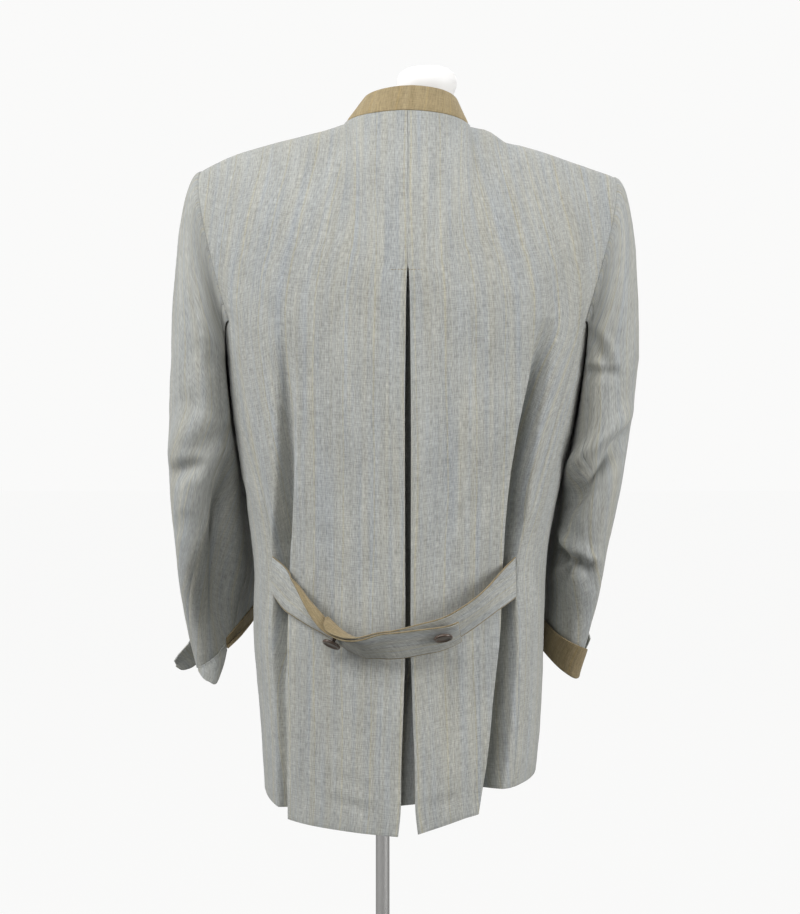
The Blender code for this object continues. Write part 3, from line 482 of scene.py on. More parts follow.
def lay_cloth(point, columns, rows, outward, seam_edges="", creases=(), start=0, turned=0):
    """Bmesh of a sheet on point(u, v), creased, rolled in at its seams, with its own flat lengths as UV.

    seam_edges names the sewn edges: first and last column, first and last row as f, l, b and t. The columns
    before turned move with it, and face as the panel does beside it. Returns the shape and the cut's width,
    length and area.
    """
    shape = bmesh.new()
    wide, tall = len(columns) - 1, len(rows) - 1
    bmesh.ops.create_grid(shape, x_segments=wide, y_segments=tall, size=1)
    spots = [(round((v.co.x + 1) / 2 * wide), round((v.co.y + 1) / 2 * tall)) for v in shape.verts]
    place = np.array([[point(u, v) for u in columns] for v in rows])
    out = np.cross(np.gradient(place, axis=1), np.gradient(place, axis=0)) * outward
    out /= np.linalg.norm(out, axis=2, keepdims=True) + 1e-12
    steps = np.linalg.norm(np.diff(place, axis=1), axis=2)
    flat_u = np.pad(np.cumsum(steps, axis=1), ((0, 0), (1, 0)))
    climbs = np.linalg.norm(np.diff(place, axis=0), axis=2)
    flat_v = np.pad(np.cumsum(climbs, axis=0), ((1, 0), (0, 0)))
    area = float((steps[:-1] + steps[1:]).ravel() @ (climbs[:, :-1] + climbs[:, 1:]).ravel()) / 4
    sizes = (float(flat_u[:, -1].max()), float(flat_v[-1].max()), area)
    edges = {"f": flat_u, "l": flat_u[:, -1:] - flat_u, "b": flat_v, "t": flat_v[-1:] - flat_v}
    rise = crease_rise(place, out, creases)
    ripple = np.array([[noise.noise(Vector(p) * RIPPLES_PER_METRE) for p in row] for row in place])
    fine = np.array([[noise.noise(Vector(p) * FINE_RIPPLES_PER_METRE) for p in row] for row in place])
    rise += RIPPLE_HIGH * ripple + FINE_RIPPLE_HIGH * fine
    for letter in seam_edges:
        rise -= ROLL_DEEP * (1 + ROLL_UNEVEN * fine) * np.exp(-((edges[letter] / ROLL_WIDE) ** 2))
    if turned:
        beside = turned + 2
        rise[:, :turned] = rise[:, turned : turned + 1]
        out[:, :beside] = out[:, beside : beside + 1]
    place = place + out * rise[..., None]
    # The count of meshes so far starts each sheet's weave at a place of its own.
    flat_u = flat_u - flat_u[:, start : start + 1] + len(bpy.data.meshes)
    cloth_map = shape.loops.layers.uv.new("cloth")
    where = {}
    for vert, (i, j) in zip(shape.verts, spots):
        vert.co = place[j, i]
        where[vert] = (flat_u[j, i], flat_v[j, i])
    for face in shape.faces:
        face.smooth = True
        for loop in face.loops:
            loop[cloth_map].uv = where[loop.vert]
    if outward < 0:
        bmesh.ops.reverse_faces(shape, faces=shape.faces)
    return shape, sizes


Cloth = namedtuple("Cloth", "look thick slot")
TURNED_SHARE = 0.3
TURNED_ANGLE = math.radians(55)


def sew_in(node, laid, cloth):
    """Laid cloth with its thickness and turned edges, in place of a node of the frame."""
    shape, (width, length, area) = laid
    piece = place_mesh(node, shape, cloth.look, "_cloth")
    wall = piece.modifiers.new("thickness", "SOLIDIFY")
    wall.thickness = cloth.thick
    wall.offset = -1.0
    turned = piece.modifiers.new("turned edge", "BEVEL")
    turned.limit_method = "ANGLE"
    turned.angle_limit = TURNED_ANGLE
    turned.width = TURNED_SHARE * cloth.thick
    turned.segments = 2
    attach(piece, "root")
    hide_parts(node)


yarns = bpy.data.node_groups.new("linen yarns", "ShaderNodeTree")
yarns.interface.new_socket("Cloth", in_out="INPUT", socket_type="NodeSocketVector")
cloth_in = yarns.nodes.new("NodeGroupInput")
cloth_out = yarns.nodes.new("NodeGroupOutput")
Yarn = namedtuple("Yarn", "name across along detail")
for yarn in (
    Yarn("Warp", 1000, 130, 2.0),
    Yarn("Weft", 90, 900, 2.0),
    Yarn("Band", 130, 4.0, 3.0),
    Yarn("Mottle", 40, 16, 4.0),
    Yarn("Slub", 420, 10, 2.0),
):
    yarns.interface.new_socket(yarn.name, in_out="OUTPUT", socket_type="NodeSocketFloat")
    stretch = yarns.nodes.new("ShaderNodeVectorMath")
    stretch.operation = "MULTIPLY"
    stretch.inputs[1].default_value = (yarn.across, yarn.along, 1.0)
    slub = yarns.nodes.new("ShaderNodeTexNoise")
    slub.noise_dimensions = "2D"
    slub.inputs["Scale"].default_value = 1.0
    slub.inputs["Detail"].default_value = yarn.detail
    yarns.links.new(cloth_in.outputs["Cloth"], stretch.inputs[0])
    yarns.links.new(stretch.outputs["Vector"], slub.inputs["Vector"])
    yarns.links.new(slub.outputs["Fac"], cloth_out.inputs[yarn.name])
yarns.interface.new_socket("Stripe", in_out="OUTPUT", socket_type="NodeSocketFloat")
stripe = yarns.nodes.new("ShaderNodeTexWave")
stripe.inputs["Scale"].default_value = 9.4
stripe.inputs["Distortion"].default_value = 1.6
stripe.inputs["Detail Scale"].default_value = 0.4
yarns.links.new(cloth_in.outputs["Cloth"], stripe.inputs["Vector"])
yarns.links.new(stripe.outputs["Fac"], cloth_out.inputs["Stripe"])

YARN_LOW = 0.25
YARN_HIGH = 0.75
WEFT_SHARE = 0.6
MOTTLE = 0.07
SLUB = 0.10
STRIPE_FROM = 0.985
STRIPE_SHARE = 0.30
STRIPE_TINT = (1.12, 1.0, 0.66)


def linen_look(name, cool, warm, contrast, tint):
    """Slubbed linen: yarn streaks both ways, soft colour bands along the warp and a little sheen."""
    look, tree, shader = start_look(name)
    shader.inputs["Roughness"].default_value = 0.88
    shader.inputs["Sheen Weight"].default_value = 0.12
    shader.inputs["Sheen Roughness"].default_value = 0.5
    shader.inputs["Specular IOR Level"].default_value = 0.25
    flat = tree.nodes.new("ShaderNodeUVMap")
    flat.uv_map = "cloth"
    weave = tree.nodes.new("ShaderNodeGroup")
    weave.node_tree = yarns
    tree.links.new(flat.outputs["UV"], weave.inputs["Cloth"])

    def tinted(share, colour):
        step = tree.nodes.new("ShaderNodeMix")
        step.data_type = "RGBA"
        step.inputs["B"].default_value = (*colour, 1.0)
        tree.links.new(share, step.inputs["Factor"])
        return step

    def combine(kind, a, b):
        step = tree.nodes.new("ShaderNodeMath")
        step.operation = kind
        tree.links.new(a, step.inputs[0])
        tree.links.new(b, step.inputs[1])
        return step.outputs["Value"]

    bands = tinted(map_range(tree, weave.outputs["Band"], 0.5 - tint, 0.5 + tint, 0.0, 1.0), warm)
    bands.inputs["A"].default_value = (*cool, 1.0)
    stripes = map_range(tree, weave.outputs["Stripe"], STRIPE_FROM, 1.0, 0.0, STRIPE_SHARE)
    striped = tinted(stripes, [c * k for c, k in zip(warm, STRIPE_TINT)])
    tree.links.new(bands.outputs["Result"], striped.inputs["A"])
    streaks = (("Warp", contrast), ("Weft", WEFT_SHARE * contrast), ("Mottle", MOTTLE), ("Slub", SLUB))
    light, *others = [
        map_range(tree, weave.outputs[yarn], YARN_LOW, YARN_HIGH, 1 - swing, 1 + swing)
        for yarn, swing in streaks
    ]
    for other in others:
        light = combine("MULTIPLY", light, other)
    shade = tree.nodes.new("ShaderNodeVectorMath")
    shade.operation = "SCALE"
    tree.links.new(striped.outputs["Result"], shade.inputs[0])
    tree.links.new(light, shade.inputs["Scale"])
    tree.links.new(shade.outputs["Vector"], shader.inputs["Base Color"])
    threads = tree.nodes.new("ShaderNodeBump")
    threads.inputs["Strength"].default_value = 0.35
    threads.inputs["Distance"].default_value = 0.0006
    tree.links.new(combine("ADD", weave.outputs["Warp"], weave.outputs["Weft"]), threads.inputs["Height"])
    tree.links.new(threads.outputs["Normal"], shader.inputs["Normal"])
    return look


GREY_LINEN = linen_look(
    "grey linen", cool=(0.348, 0.367, 0.374), warm=(0.396, 0.391, 0.345), contrast=0.21, tint=0.25
)
BODY_CLOTH = Cloth(GREY_LINEN, CLOTH, "linen_grey")
BODY_CREASES = (
    Crease("back", -0.205, 0.165, -0.135, 0.265, 0.004, 0.012, 0.0016, 0.3),
    Crease("back", -0.215, 0.205, -0.160, 0.300, -0.004, 0.010, 0.0012, 0.3),
    Crease("back", 0.205, 0.150, 0.150, 0.240, 0.004, 0.013, 0.0022, 0.3),
    Crease("back", -0.118, 0.470, -0.070, 0.492, 0.003, 0.010, 0.0012, 0.2),
    Crease("back", 0.040, 0.470, 0.090, 0.440, 0.003, 0.012, 0.0012, 0.2),
    Crease("back", -0.090, 0.610, -0.082, 0.770, 0.004, 0.014, 0.0014, 0.2),
    Crease("back", 0.046, 0.600, 0.040, 0.770, 0.003, 0.013, 0.0014, 0.2),
    Crease("back", -0.100, 0.768, -0.030, 0.784, 0.002, 0.006, 0.0014, 0.5),
    Crease("back", -0.095, 0.742, -0.050, 0.750, 0.002, 0.007, 0.0010, 0.4),
    Crease("back", 0.020, 0.776, 0.060, 0.766, 0.002, 0.006, 0.0012, 0.5),
    Crease("front", -0.160, 0.150, -0.080, 0.270, 0.005, 0.014, 0.0022, 0.3),
    Crease("front", 0.165, 0.160, 0.090, 0.290, 0.005, 0.014, 0.0022, 0.3),
    Crease("front", -0.140, 0.430, -0.060, 0.470, 0.004, 0.012, 0.0020, 0.4),
    Crease("front", 0.130, 0.450, 0.050, 0.480, 0.004, 0.012, 0.0018, 0.4),
    Crease("front", -0.095, 0.530, -0.085, 0.740, 0.005, 0.016, 0.0020, 0.2),
    Crease("front", 0.100, 0.510, 0.092, 0.735, 0.005, 0.016, 0.0020, 0.2),
    Crease("left", -0.040, 0.420, 0.030, 0.470, 0.004, 0.012, 0.0022, 0.4),
    Crease("left", 0.010, 0.560, 0.018, 0.745, 0.004, 0.014, 0.0020, 0.2),
    Crease("right", -0.030, 0.430, 0.035, 0.465, 0.004, 0.012, 0.0022, 0.4),
    Crease("right", 0.000, 0.550, 0.012, 0.730, 0.004, 0.014, 0.0020, 0.2),
)
LOWER_ROWS = spread(0.0, 1.0, 130)
UPPER_ROWS = spread(1.0, 2.0, 72)[1:]
NECK_COLUMNS = spread(0.0, NECK_SHARE, 6)
RETURN_PARTS = 8
FOLD_PARTS = 10
PANEL_PARTS = 3
TROUGH_PARTS = 10
FINER = 3
EDGE_PARTS = 4
NICK = SEAM / 2 / PANEL_WIDTH
for side, word in SIDES.items():
    knee = ridge_share(side, ARMPIT)
    edge = (PLEAT[0].gap / 2 + PLEAT[0].fold) / seams(side, ARMPIT)[0]
    across = NECK_COLUMNS[1:] + spread(NECK_SHARE, knee, PANEL_PARTS)[1:]
    trough = spread(knee, 1.0, TROUGH_PARTS)[:-1]
    columns = spread(-2.0, -1.0, RETURN_PARTS)[:-1] + spread(-1.0, 0.0, FOLD_PARTS)[:-1]
    fold = len(columns)
    columns += refine([0.0] + [(u - edge) / (knee - edge) * knee for u in across], FINER)
    columns += refine(trough, FINER)[1:] + spread(trough[-1], 1 - NICK, EDGE_PARTS)[1:]
    laid = lay_cloth(
        partial(back_point, side),
        columns,
        LOWER_ROWS + UPPER_ROWS,
        side,
        "lt",
        BODY_CREASES,
        start=fold,
        turned=fold,
    )
    sew_in("back_" + word, laid, BODY_CLOTH)

# Pleat underlay: a plain strip of the same linen behind the open pleat. It is sewn to the turned edges of the
# two back panels and ends a little above their hems.
UNDERLAY_TOP = 0.190
UNDERLAY_HEM = 0.783
UNDERLAY_BEHIND = 0.0009
UNDERLAY_ROWS = 120
UNDERLAY_COLUMNS = 14


def underlay_point(u, v):
    left, right = (back_point(side, -2.0, v) for side in SIDES)
    return left.lerp(right, (1 + u) / 2) + Vector((0.0, UNDERLAY_BEHIND, 0.0))


centre_hem = HEM[1].centre_back
underlay_low = (centre_hem - UNDERLAY_HEM) / (centre_hem - ARMPIT)
rows = spread(underlay_low, 2 - UNDERLAY_TOP / ARMPIT, UNDERLAY_ROWS)
sew_in("pleat_underlay", lay_cloth(underlay_point, spread(-1.0, 1.0, UNDERLAY_COLUMNS), rows, 1), BODY_CLOTH)

# Side panels of the same linen, each one piece from the side-back seam round to the hidden front seam. They are
# sewn to the back and the front, and the sleeve is set on their upper edge under the arm.
SIDE_EDGE = 0.06
SIDE_PARTS = 26


def side_surface(side, u, v):
    """Side panel: u from the back seam to the front seam, v from the hem to the underarm."""
    hem = HEM[side]
    top = ARMPIT + ARMPIT_DIP * math.sin(math.pi * min(max(u, 0.0), 1.0))
    drop = mix(mix(hem.back_seam, hem.front_seam, u), top, v)
    back, fore, _ = seams(side, drop)
    return world(*ring_point(side, mix(back, fore, u), drop))


columns = spread(NICK, SIDE_EDGE, EDGE_PARTS)[:-1] + spread(SIDE_EDGE, 1 - SIDE_EDGE, SIDE_PARTS)
columns += spread(1 - SIDE_EDGE, 1 - NICK, EDGE_PARTS)[1:]
for side, word in SIDES.items():
    laid = lay_cloth(partial(side_surface, side), columns, LOWER_ROWS, side, "flt", BODY_CREASES)
    sew_in("side_" + word, laid, BODY_CLOTH)

# Fronts of the same linen, sewn to the side panels and the shoulders, the left one lapped over the right and
# buttoned. They are plain, because the photo doesn't show them.
FRONT_LAP = 0.018
FRONT_LIFT = 0.0026
FRONT_LIFT_REACH = 0.045
FRONT_NEAR = 0.02
FRONT_EDGE = 0.96
FRONT_PARTS = 22
FRONT_EDGE_PARTS = 3


def front_surface(side, u, v):
    """Front: u from the centre front to the front seam; below 0 it laps on to the other side."""
    if u < 0:
        side, u = -side, -u
    if v > 1:
        return yoke_point(side, u, v - 1, True)
    hem = HEM[side]
    drop = mix(mix(hem.centre_front, hem.front_seam, u), ARMPIT, v)
    _, fore, centre = seams(side, drop)
    return world(*ring_point(side, mix(centre, fore, u), drop))


def front_width(side):
    _, fore, centre = seams(side, ARMPIT)
    return centre - fore


def front_point(side, u, v):
    """Front with the left one lifted where it laps over the right."""
    point = front_surface(side, u, v)
    lift = FRONT_LIFT * ease(2 * (1 - u * front_width(side) / FRONT_LIFT_REACH))
    if side > 0 or lift == 0.0:
        return point
    return point + facing(partial(front_surface, side), max(u, FRONT_NEAR), v, -side) * lift


rows = LOWER_ROWS[::2] + UPPER_ROWS[1::2]
for side, word in SIDES.items():
    columns = spread(-FRONT_LAP / front_width(side), 0.0, EDGE_PARTS)[:-1] + refine(NECK_COLUMNS, 2)[:-1]
    columns += spread(NECK_SHARE, FRONT_EDGE, FRONT_PARTS)
    columns += spread(FRONT_EDGE, 1 - NICK, FRONT_EDGE_PARTS)[1:]
    laid = lay_cloth(partial(front_point, side), columns, rows, -side, "lt", BODY_CREASES)
    sew_in("front_" + word, laid, BODY_CLOTH)

# Stand collar of plain olive linen: one stiffened band, open at the throat, that leans a little towards the
# neck. Its lower edge is sewn into the neckline.
COLLAR_CLOTH = 0.0022
COLLAR_OFF = 3 * SEAM
COLLAR_HEIGHT = 0.0295
COLLAR_LEAN = 0.008
COLLAR_SIDE_LEAN = 0.010
COLLAR_ASIDE = 0.004
COLLAR_OPENING = 0.03
COLLAR_COLUMNS = 110
COLLAR_ROWS = 14
OLIVE_LINEN = linen_look(
    "olive linen", cool=(0.312, 0.242, 0.130), warm=(0.372, 0.298, 0.175), contrast=0.17, tint=0.3
)


def collar_point(s, h):
    """Stand collar: s from the left front edge (-1) by the centre back (0) to the right (1), h up it."""
    side, q = (1 if s >= 0 else -1), abs(s)
    front = q > 0.5
    x, y, drop = top_edge(side, (2 - 2 * q if front else 2 * q) * NECK_SHARE, front)
    inward = Vector((-x, SHOULDER_Y - y))
    lean = COLLAR_LEAN + COLLAR_SIDE_LEAN * math.sin(math.pi * q)
    inward *= lean * h / inward.length
    aside = side * (x + inward.x) + COLLAR_ASIDE * h
    return world(aside, y + inward.y, drop - COLLAR_OFF - COLLAR_HEIGHT * h)


columns = spread(COLLAR_OPENING - 1, 1 - COLLAR_OPENING, COLLAR_COLUMNS)
laid = lay_cloth(collar_point, columns, spread(0.0, 1.0, COLLAR_ROWS), 1, "b", start=COLLAR_COLUMNS // 2)
sew_in("collar", laid, Cloth(OLIVE_LINEN, COLLAR_CLOTH, "linen_olive"))

# Two-piece sleeves of the same grey linen, a top and an under half joined by an elbow and a forearm seam. They
# are set into the armholes and hang empty beside the body, with soft folds at the elbow.
SLEEVE_START = 0.275
STATIONS = 24
BACK_STATION = 9
FRONT_STATION = 15
ELBOW_SEAM = 8.4
FOREARM_SEAM = 16
SLEEVE_NICK = 0.004
SLEEVE_OFF = 1.5 * SEAM
ALLOWANCE_IN = 0.006
ALLOWANCE_BEHIND = 0.004
CAP_ROLL = 0.021
UNDERARM_ROLL = 0.002
CAP_HANG = 0.45
ARM_SQUARE = 2.3
ARM_CLEAR = 0.0015
ARM_YIELD = 0.005
CUFF_CLEAR = 0.005
CUFF_CLEAR_FROM = 0.520
CUFF_CLEAR_RUN = 0.045
Arm = namedtuple("Arm", "drop x y thick deep axis turn slope cant")
ARMS = {
    -1: (
        Arm(0.275, 0.2360, 0.008, 0.0385, 0.080, 0, 12, 0.00, 0.00),
        Arm(0.340, 0.2340, 0.010, 0.0425, 0.080, 2, 22, 0.00, 0.00),
        Arm(0.410, 0.2320, 0.014, 0.0445, 0.077, 3, -12, 0.04, 0.00),
        Arm(0.480, 0.2270, 0.028, 0.0435, 0.072, 6, -41, 0.14, 0.15),
        Arm(0.550, 0.2200, 0.063, 0.0400, 0.068, 15, -71, 0.30, 0.38),
        Arm(0.606, 0.2165, 0.096, 0.0290, 0.064, 18, -89, 0.44, 0.60),
    ),
    1: (
        Arm(0.275, 0.2310, 0.008, 0.0380, 0.080, 0, 2, 0.00, 0.00),
        Arm(0.340, 0.2230, 0.010, 0.0380, 0.080, 2, -6, 0.00, 0.00),
        Arm(0.410, 0.2145, 0.014, 0.0355, 0.077, 3, -18, 0.05, 0.00),
        Arm(0.480, 0.2005, 0.030, 0.0335, 0.074, 6, -36, 0.16, 0.08),
        Arm(0.550, 0.1885, 0.066, 0.0285, 0.071, 12, -73, 0.30, 0.20),
        Arm(0.614, 0.1730, 0.098, 0.0240, 0.067, 14, -95, 0.44, 0.62),
    ),
}
SLEEVE_CREASES = {
    -1: (
        Crease("back", -0.192, 0.372, -0.226, 0.640, 0.004, 0.029, 0.0290, 0.10),
        Crease("back", -0.188, 0.408, -0.252, 0.540, -0.004, 0.008, 0.0060, 0.6),
        Crease("back", -0.272, 0.425, -0.200, 0.352, 0.004, 0.014, 0.0060, 0.6),
        Crease("back", -0.276, 0.414, -0.222, 0.400, 0.003, 0.008, 0.0045, 0.8),
        Crease("back", -0.252, 0.255, -0.217, 0.300, 0.003, 0.012, 0.0030, 0.4),
        Crease("back", -0.252, 0.200, -0.246, 0.310, 0.002, 0.008, 0.0035, 0.5),
        Crease("back", -0.226, 0.235, -0.212, 0.365, 0.003, 0.009, 0.0040, 0.5),
        Crease("back", -0.268, 0.322, -0.236, 0.342, 0.003, 0.012, 0.0022, 0.4),
        Crease("back", -0.265, 0.486, -0.246, 0.450, 0.003, 0.010, 0.0022, 0.4),
        Crease("left", 0.012, 0.300, 0.080, 0.340, 0.006, 0.014, 0.0026, 0.4),
        Crease("left", 0.018, 0.430, 0.090, 0.410, 0.006, 0.013, 0.0032, 0.5),
        Crease("left", 0.028, 0.470, 0.100, 0.450, 0.006, 0.012, 0.0030, 0.5),
        Crease("left", 0.000, 0.520, 0.075, 0.530, 0.006, 0.012, 0.0022, 0.4),
        Crease("front", -0.265, 0.360, -0.215, 0.400, 0.004, 0.011, 0.0040, 0.5),
        Crease("front", -0.262, 0.410, -0.212, 0.425, 0.004, 0.009, 0.0040, 0.5),
        Crease("front", -0.258, 0.450, -0.205, 0.440, 0.004, 0.010, 0.0035, 0.5),
    ),
    1: (
        Crease("back", 0.290, 0.330, 0.150, 0.485, 0.005, 0.012, 0.0150, 0.9),
        Crease("back", 0.160, 0.482, 0.220, 0.524, -0.006, 0.008, 0.0100, 0.7),
        Crease("back", 0.165, 0.466, 0.182, 0.540, 0.003, 0.005, 0.0060, 0.6),
        Crease("back", 0.172, 0.546, 0.206, 0.494, 0.003, 0.0045, 0.0050, 0.6),
        Crease("back", 0.203, 0.240, 0.232, 0.300, 0.002, 0.006, 0.0050, 0.6),
        Crease("back", 0.190, 0.292, 0.248, 0.300, 0.002, 0.006, 0.0055, 0.6),
        Crease("back", 0.244, 0.245, 0.212, 0.284, 0.003, 0.012, 0.0026, 0.3),
        Crease("back", 0.196, 0.504, 0.216, 0.552, 0.003, 0.010, 0.0026, 0.4),
        Crease("right", 0.010, 0.310, 0.080, 0.350, 0.006, 0.014, 0.0026, 0.4),
        Crease("right", 0.015, 0.402, 0.090, 0.425, 0.006, 0.013, 0.0030, 0.5),
        Crease("right", 0.030, 0.455, 0.100, 0.450, 0.006, 0.012, 0.0026, 0.5),
        Crease("right", 0.000, 0.530, 0.080, 0.520, 0.006, 0.012, 0.0022, 0.4),
        Crease("front", 0.255, 0.350, 0.195, 0.390, 0.004, 0.011, 0.0040, 0.5),
        Crease("front", 0.245, 0.405, 0.190, 0.420, 0.004, 0.009, 0.0040, 0.5),
        Crease("front", 0.235, 0.450, 0.180, 0.445, 0.004, 0.010, 0.0035, 0.5),
    ),
}


@lru_cache(maxsize=None)
def armhole(side, j):
    """Edge of the armhole, from the shoulder tip down the back, under the arm and up the front."""
    j %= STATIONS
    if j <= BACK_STATION:
        return back_surface(side, 1.0, 2 - j / BACK_STATION)
    if j <= FRONT_STATION:
        return side_surface(side, (j - BACK_STATION) / (FRONT_STATION - BACK_STATION), 1.0)
    return front_surface(side, 1.0, 1 + (j - FRONT_STATION) / (STATIONS - FRONT_STATION))


@lru_cache(maxsize=4000)
def arm_point(side, j, drop):
    """Hanging part of the sleeve at a station and drop."""
    rows = ARMS[side]
    angle = math.tau * j / STATIONS + math.radians(along(rows, "turn", drop))
    s, c = math.sin(angle), math.cos(angle)
    x = along(rows, "thick", drop) * math.copysign(abs(c) ** (2 / ARM_SQUARE), c)
    y = -along(rows, "deep", drop) * math.copysign(abs(s) ** (2 / ARM_SQUARE), s)
    level = drop - along(rows, "slope", drop) * y + along(rows, "cant", drop) * x
    axis = math.radians(along(rows, "axis", drop))
    x, y = x * math.cos(axis) - y * math.sin(axis), x * math.sin(axis) + y * math.cos(axis)
    x, y = along(rows, "x", drop) + x, along(rows, "y", drop) + y
    body_x, body_y, _ = half_ring(level)
    clear = np.interp(y, body_y, body_x) + side * along(SECTIONS, "shift", level)
    clear += ARM_CLEAR + CUFF_CLEAR * ease((drop - CUFF_CLEAR_FROM) / CUFF_CLEAR_RUN)
    x = (x + clear + math.hypot(x - clear, ARM_YIELD)) / 2
    return world(side * x, y, level)


def sleeve_point(side, j, r):
    """Sleeve: r from the armhole (0) over the cap to the arm (1) and end (2); below 0 its seam allowance."""
    if r > 1:
        return arm_point(side, j, mix(SLEEVE_START, ARMS[side][-1].drop, r - 1))
    head = 0.5 + 0.5 * math.cos(math.tau * j / STATIONS)
    out = Vector((side, 0.0, 0.0))
    start = armhole(side, j) + out * SLEEVE_OFF
    if r < 0:
        middle = (armhole(side, 0) + armhole(side, STATIONS / 2)) / 2
        return start + r * (out * ALLOWANCE_IN - (middle - start).normalized() * ALLOWANCE_BEHIND)
    end = arm_point(side, j, SLEEVE_START)
    roll = start + out * mix(UNDERARM_ROLL, CAP_ROLL, head)
    hang = end + Vector((0.0, 0.0, CAP_HANG * (start - end).length))
    s = 1 - r
    return start * s**3 + roll * 3 * s * s * r + hang * 3 * s * r * r + end * r**3


CAP_EDGE = 0.04
CAP_EDGE_PARTS = 3
CAP_ROWS = 46
ARM_ROWS = 84
STATION_PARTS = 4
ELBOW_PARTS = 5
TOP_ELBOW_PARTS = 3
FOREARM_PARTS = 6
sleeve_rows = spread(-1.0, 0.0, 2) + spread(0.0, CAP_EDGE, CAP_EDGE_PARTS)[1:-1]
sleeve_rows += spread(CAP_EDGE, 1.0, CAP_ROWS) + spread(1.0, 2.0, ARM_ROWS)[1:]
after_elbow = math.ceil(ELBOW_SEAM)
under = spread(ELBOW_SEAM + SLEEVE_NICK, after_elbow, ELBOW_PARTS)[:-1]
under += refine(range(after_elbow, FOREARM_SEAM), STATION_PARTS)
under += spread(FOREARM_SEAM - 1, FOREARM_SEAM - SLEEVE_NICK, FOREARM_PARTS)[1:]
top = spread(FOREARM_SEAM + SLEEVE_NICK, FOREARM_SEAM + 1, FOREARM_PARTS)[:-1]
top += refine(range(FOREARM_SEAM + 1, STATIONS + after_elbow), STATION_PARTS)
top += spread(top[-1], STATIONS + ELBOW_SEAM - SLEEVE_NICK, TOP_ELBOW_PARTS)[1:]
for side, word in SIDES.items():
    for part, columns in (("under", under), ("top", top)):
        laid = lay_cloth(partial(sleeve_point, side), columns, sleeve_rows, side, "fl", SLEEVE_CREASES[side])
        sew_in("sleeve_%s_%s" % (part, word), laid, BODY_CLOTH)

# Cuffs: the sleeve's facing, turned back over its end as a band and caught there, in olive linen darkened all
# over with painted shade. At the open vents the sleeve's own grey corners stand away from the band.
CUFF_CLOTH = 0.0016
CUFF_OFF = 0.0009
CUFF_FLARE = 0.05
CUFF_FOLD = 0.0021
CUFF_NEAR = 1.99
CUFF_STEP = 0.02
CUFF_PARTS = 4
CUFF_ROWS = 10
CUFF_FOLD_ROWS = 6
# The collar's olive linen again, darker all over: painted shade for the turned-back cuffs and the belt's
# backing.
SHADED_OLIVE_LINEN = linen_look(
    "olive linen, painted shade", cool=(0.235, 0.182, 0.098), warm=(0.280, 0.223, 0.130), contrast=0.17, tint=0.3
)
Cuff = namedtuple("Cuff", "station low high off")
CUFFS = {
    "cuff_left": (-1, (
        Cuff(14.9, -0.001, 0.006, -0.0022),
        Cuff(16.5, -0.001, 0.011, -0.0020),
        Cuff(18.5, -0.001, 0.019, -0.0010),
        Cuff(21.0, -0.001, 0.030, 0.000),
        Cuff(28.96, -0.001, 0.032, 0.000),
    )),
    "cuff_left_outer_tip": (-1, (
        Cuff(29.0, -0.003, 0.028, 0.000),
        Cuff(30.2, -0.014, 0.017, 0.008),
        Cuff(31.2, -0.011, 0.010, 0.019),
        Cuff(31.6, -0.003, 0.005, 0.025),
    )),
    "cuff_left_inner_tip": (-1, (
        Cuff(10.2, -0.002, 0.0015, -0.0020),
        Cuff(11.1, -0.011, 0.0015, -0.0020),
        Cuff(12.1, -0.022, 0.0015, -0.0020),
        Cuff(12.9, -0.030, 0.0015, -0.0020),
        Cuff(13.4, -0.029, 0.0015, -0.0020),
        Cuff(14.86, -0.004, 0.0015, -0.0020),
    )),
    "cuff_right": (1, (
        Cuff(8.6, 0.003, 0.020, 0.000),
        Cuff(9.6, -0.001, 0.028, 0.000),
        Cuff(13.0, -0.001, 0.032, 0.000),
        Cuff(29.46, -0.001, 0.032, 0.000),
    )),
    "cuff_right_outer_tip": (1, (
        Cuff(29.5, 0.001, 0.032, 0.000),
        Cuff(30.6, 0.004, 0.034, 0.001),
        Cuff(31.6, 0.010, 0.032, 0.002),
    )),
}


def cuff_point(side, rows, j, h):
    """Turned cuff or vent corner outside the sleeve's end; h up to its high edge, below 0 its fold inwards."""
    rise = mix(along(rows, "low", j), along(rows, "high", j), max(h, 0.0))
    r = 2 - rise / (ARMS[side][-1].drop - SLEEVE_START)
    out = facing(partial(sleeve_point, side), j, min(r, CUFF_NEAR), side)
    off = CUFF_OFF + CUFF_CLOTH + CUFF_FLARE * max(rise, 0.0) + along(rows, "off", j)
    on = sleeve_point(side, j, r)
    if h >= 0:
        return on + out * off
    down = (on - sleeve_point(side, j, r - CUFF_STEP)).normalized()
    turn = -h * math.pi
    return on + out * (off - CUFF_FOLD * (1 - math.cos(turn))) + down * CUFF_FOLD * math.sin(turn)


tip_rows = spread(0.0, 1.0, CUFF_ROWS)
band_rows = spread(-1.0, 0.0, CUFF_FOLD_ROWS)[:-1] + tip_rows
for name, (side, rows) in CUFFS.items():
    first, last = rows[0].station, rows[-1].station
    columns = refine([first, *range(math.floor(first) + 1, math.ceil(last)), last], CUFF_PARTS)
    # The band is olive linen darkened with painted shade.
    heights, cloth = band_rows, Cloth(SHADED_OLIVE_LINEN, CUFF_CLOTH, "linen_olive")
    if name.endswith("tip"):
        heights, cloth = tip_rows, Cloth(GREY_LINEN, CUFF_CLOTH, "linen_grey")
    laid = lay_cloth(partial(cuff_point, side, rows), columns, heights, -side, "", SLEEVE_CREASES[side])
    sew_in(name, laid, cloth)
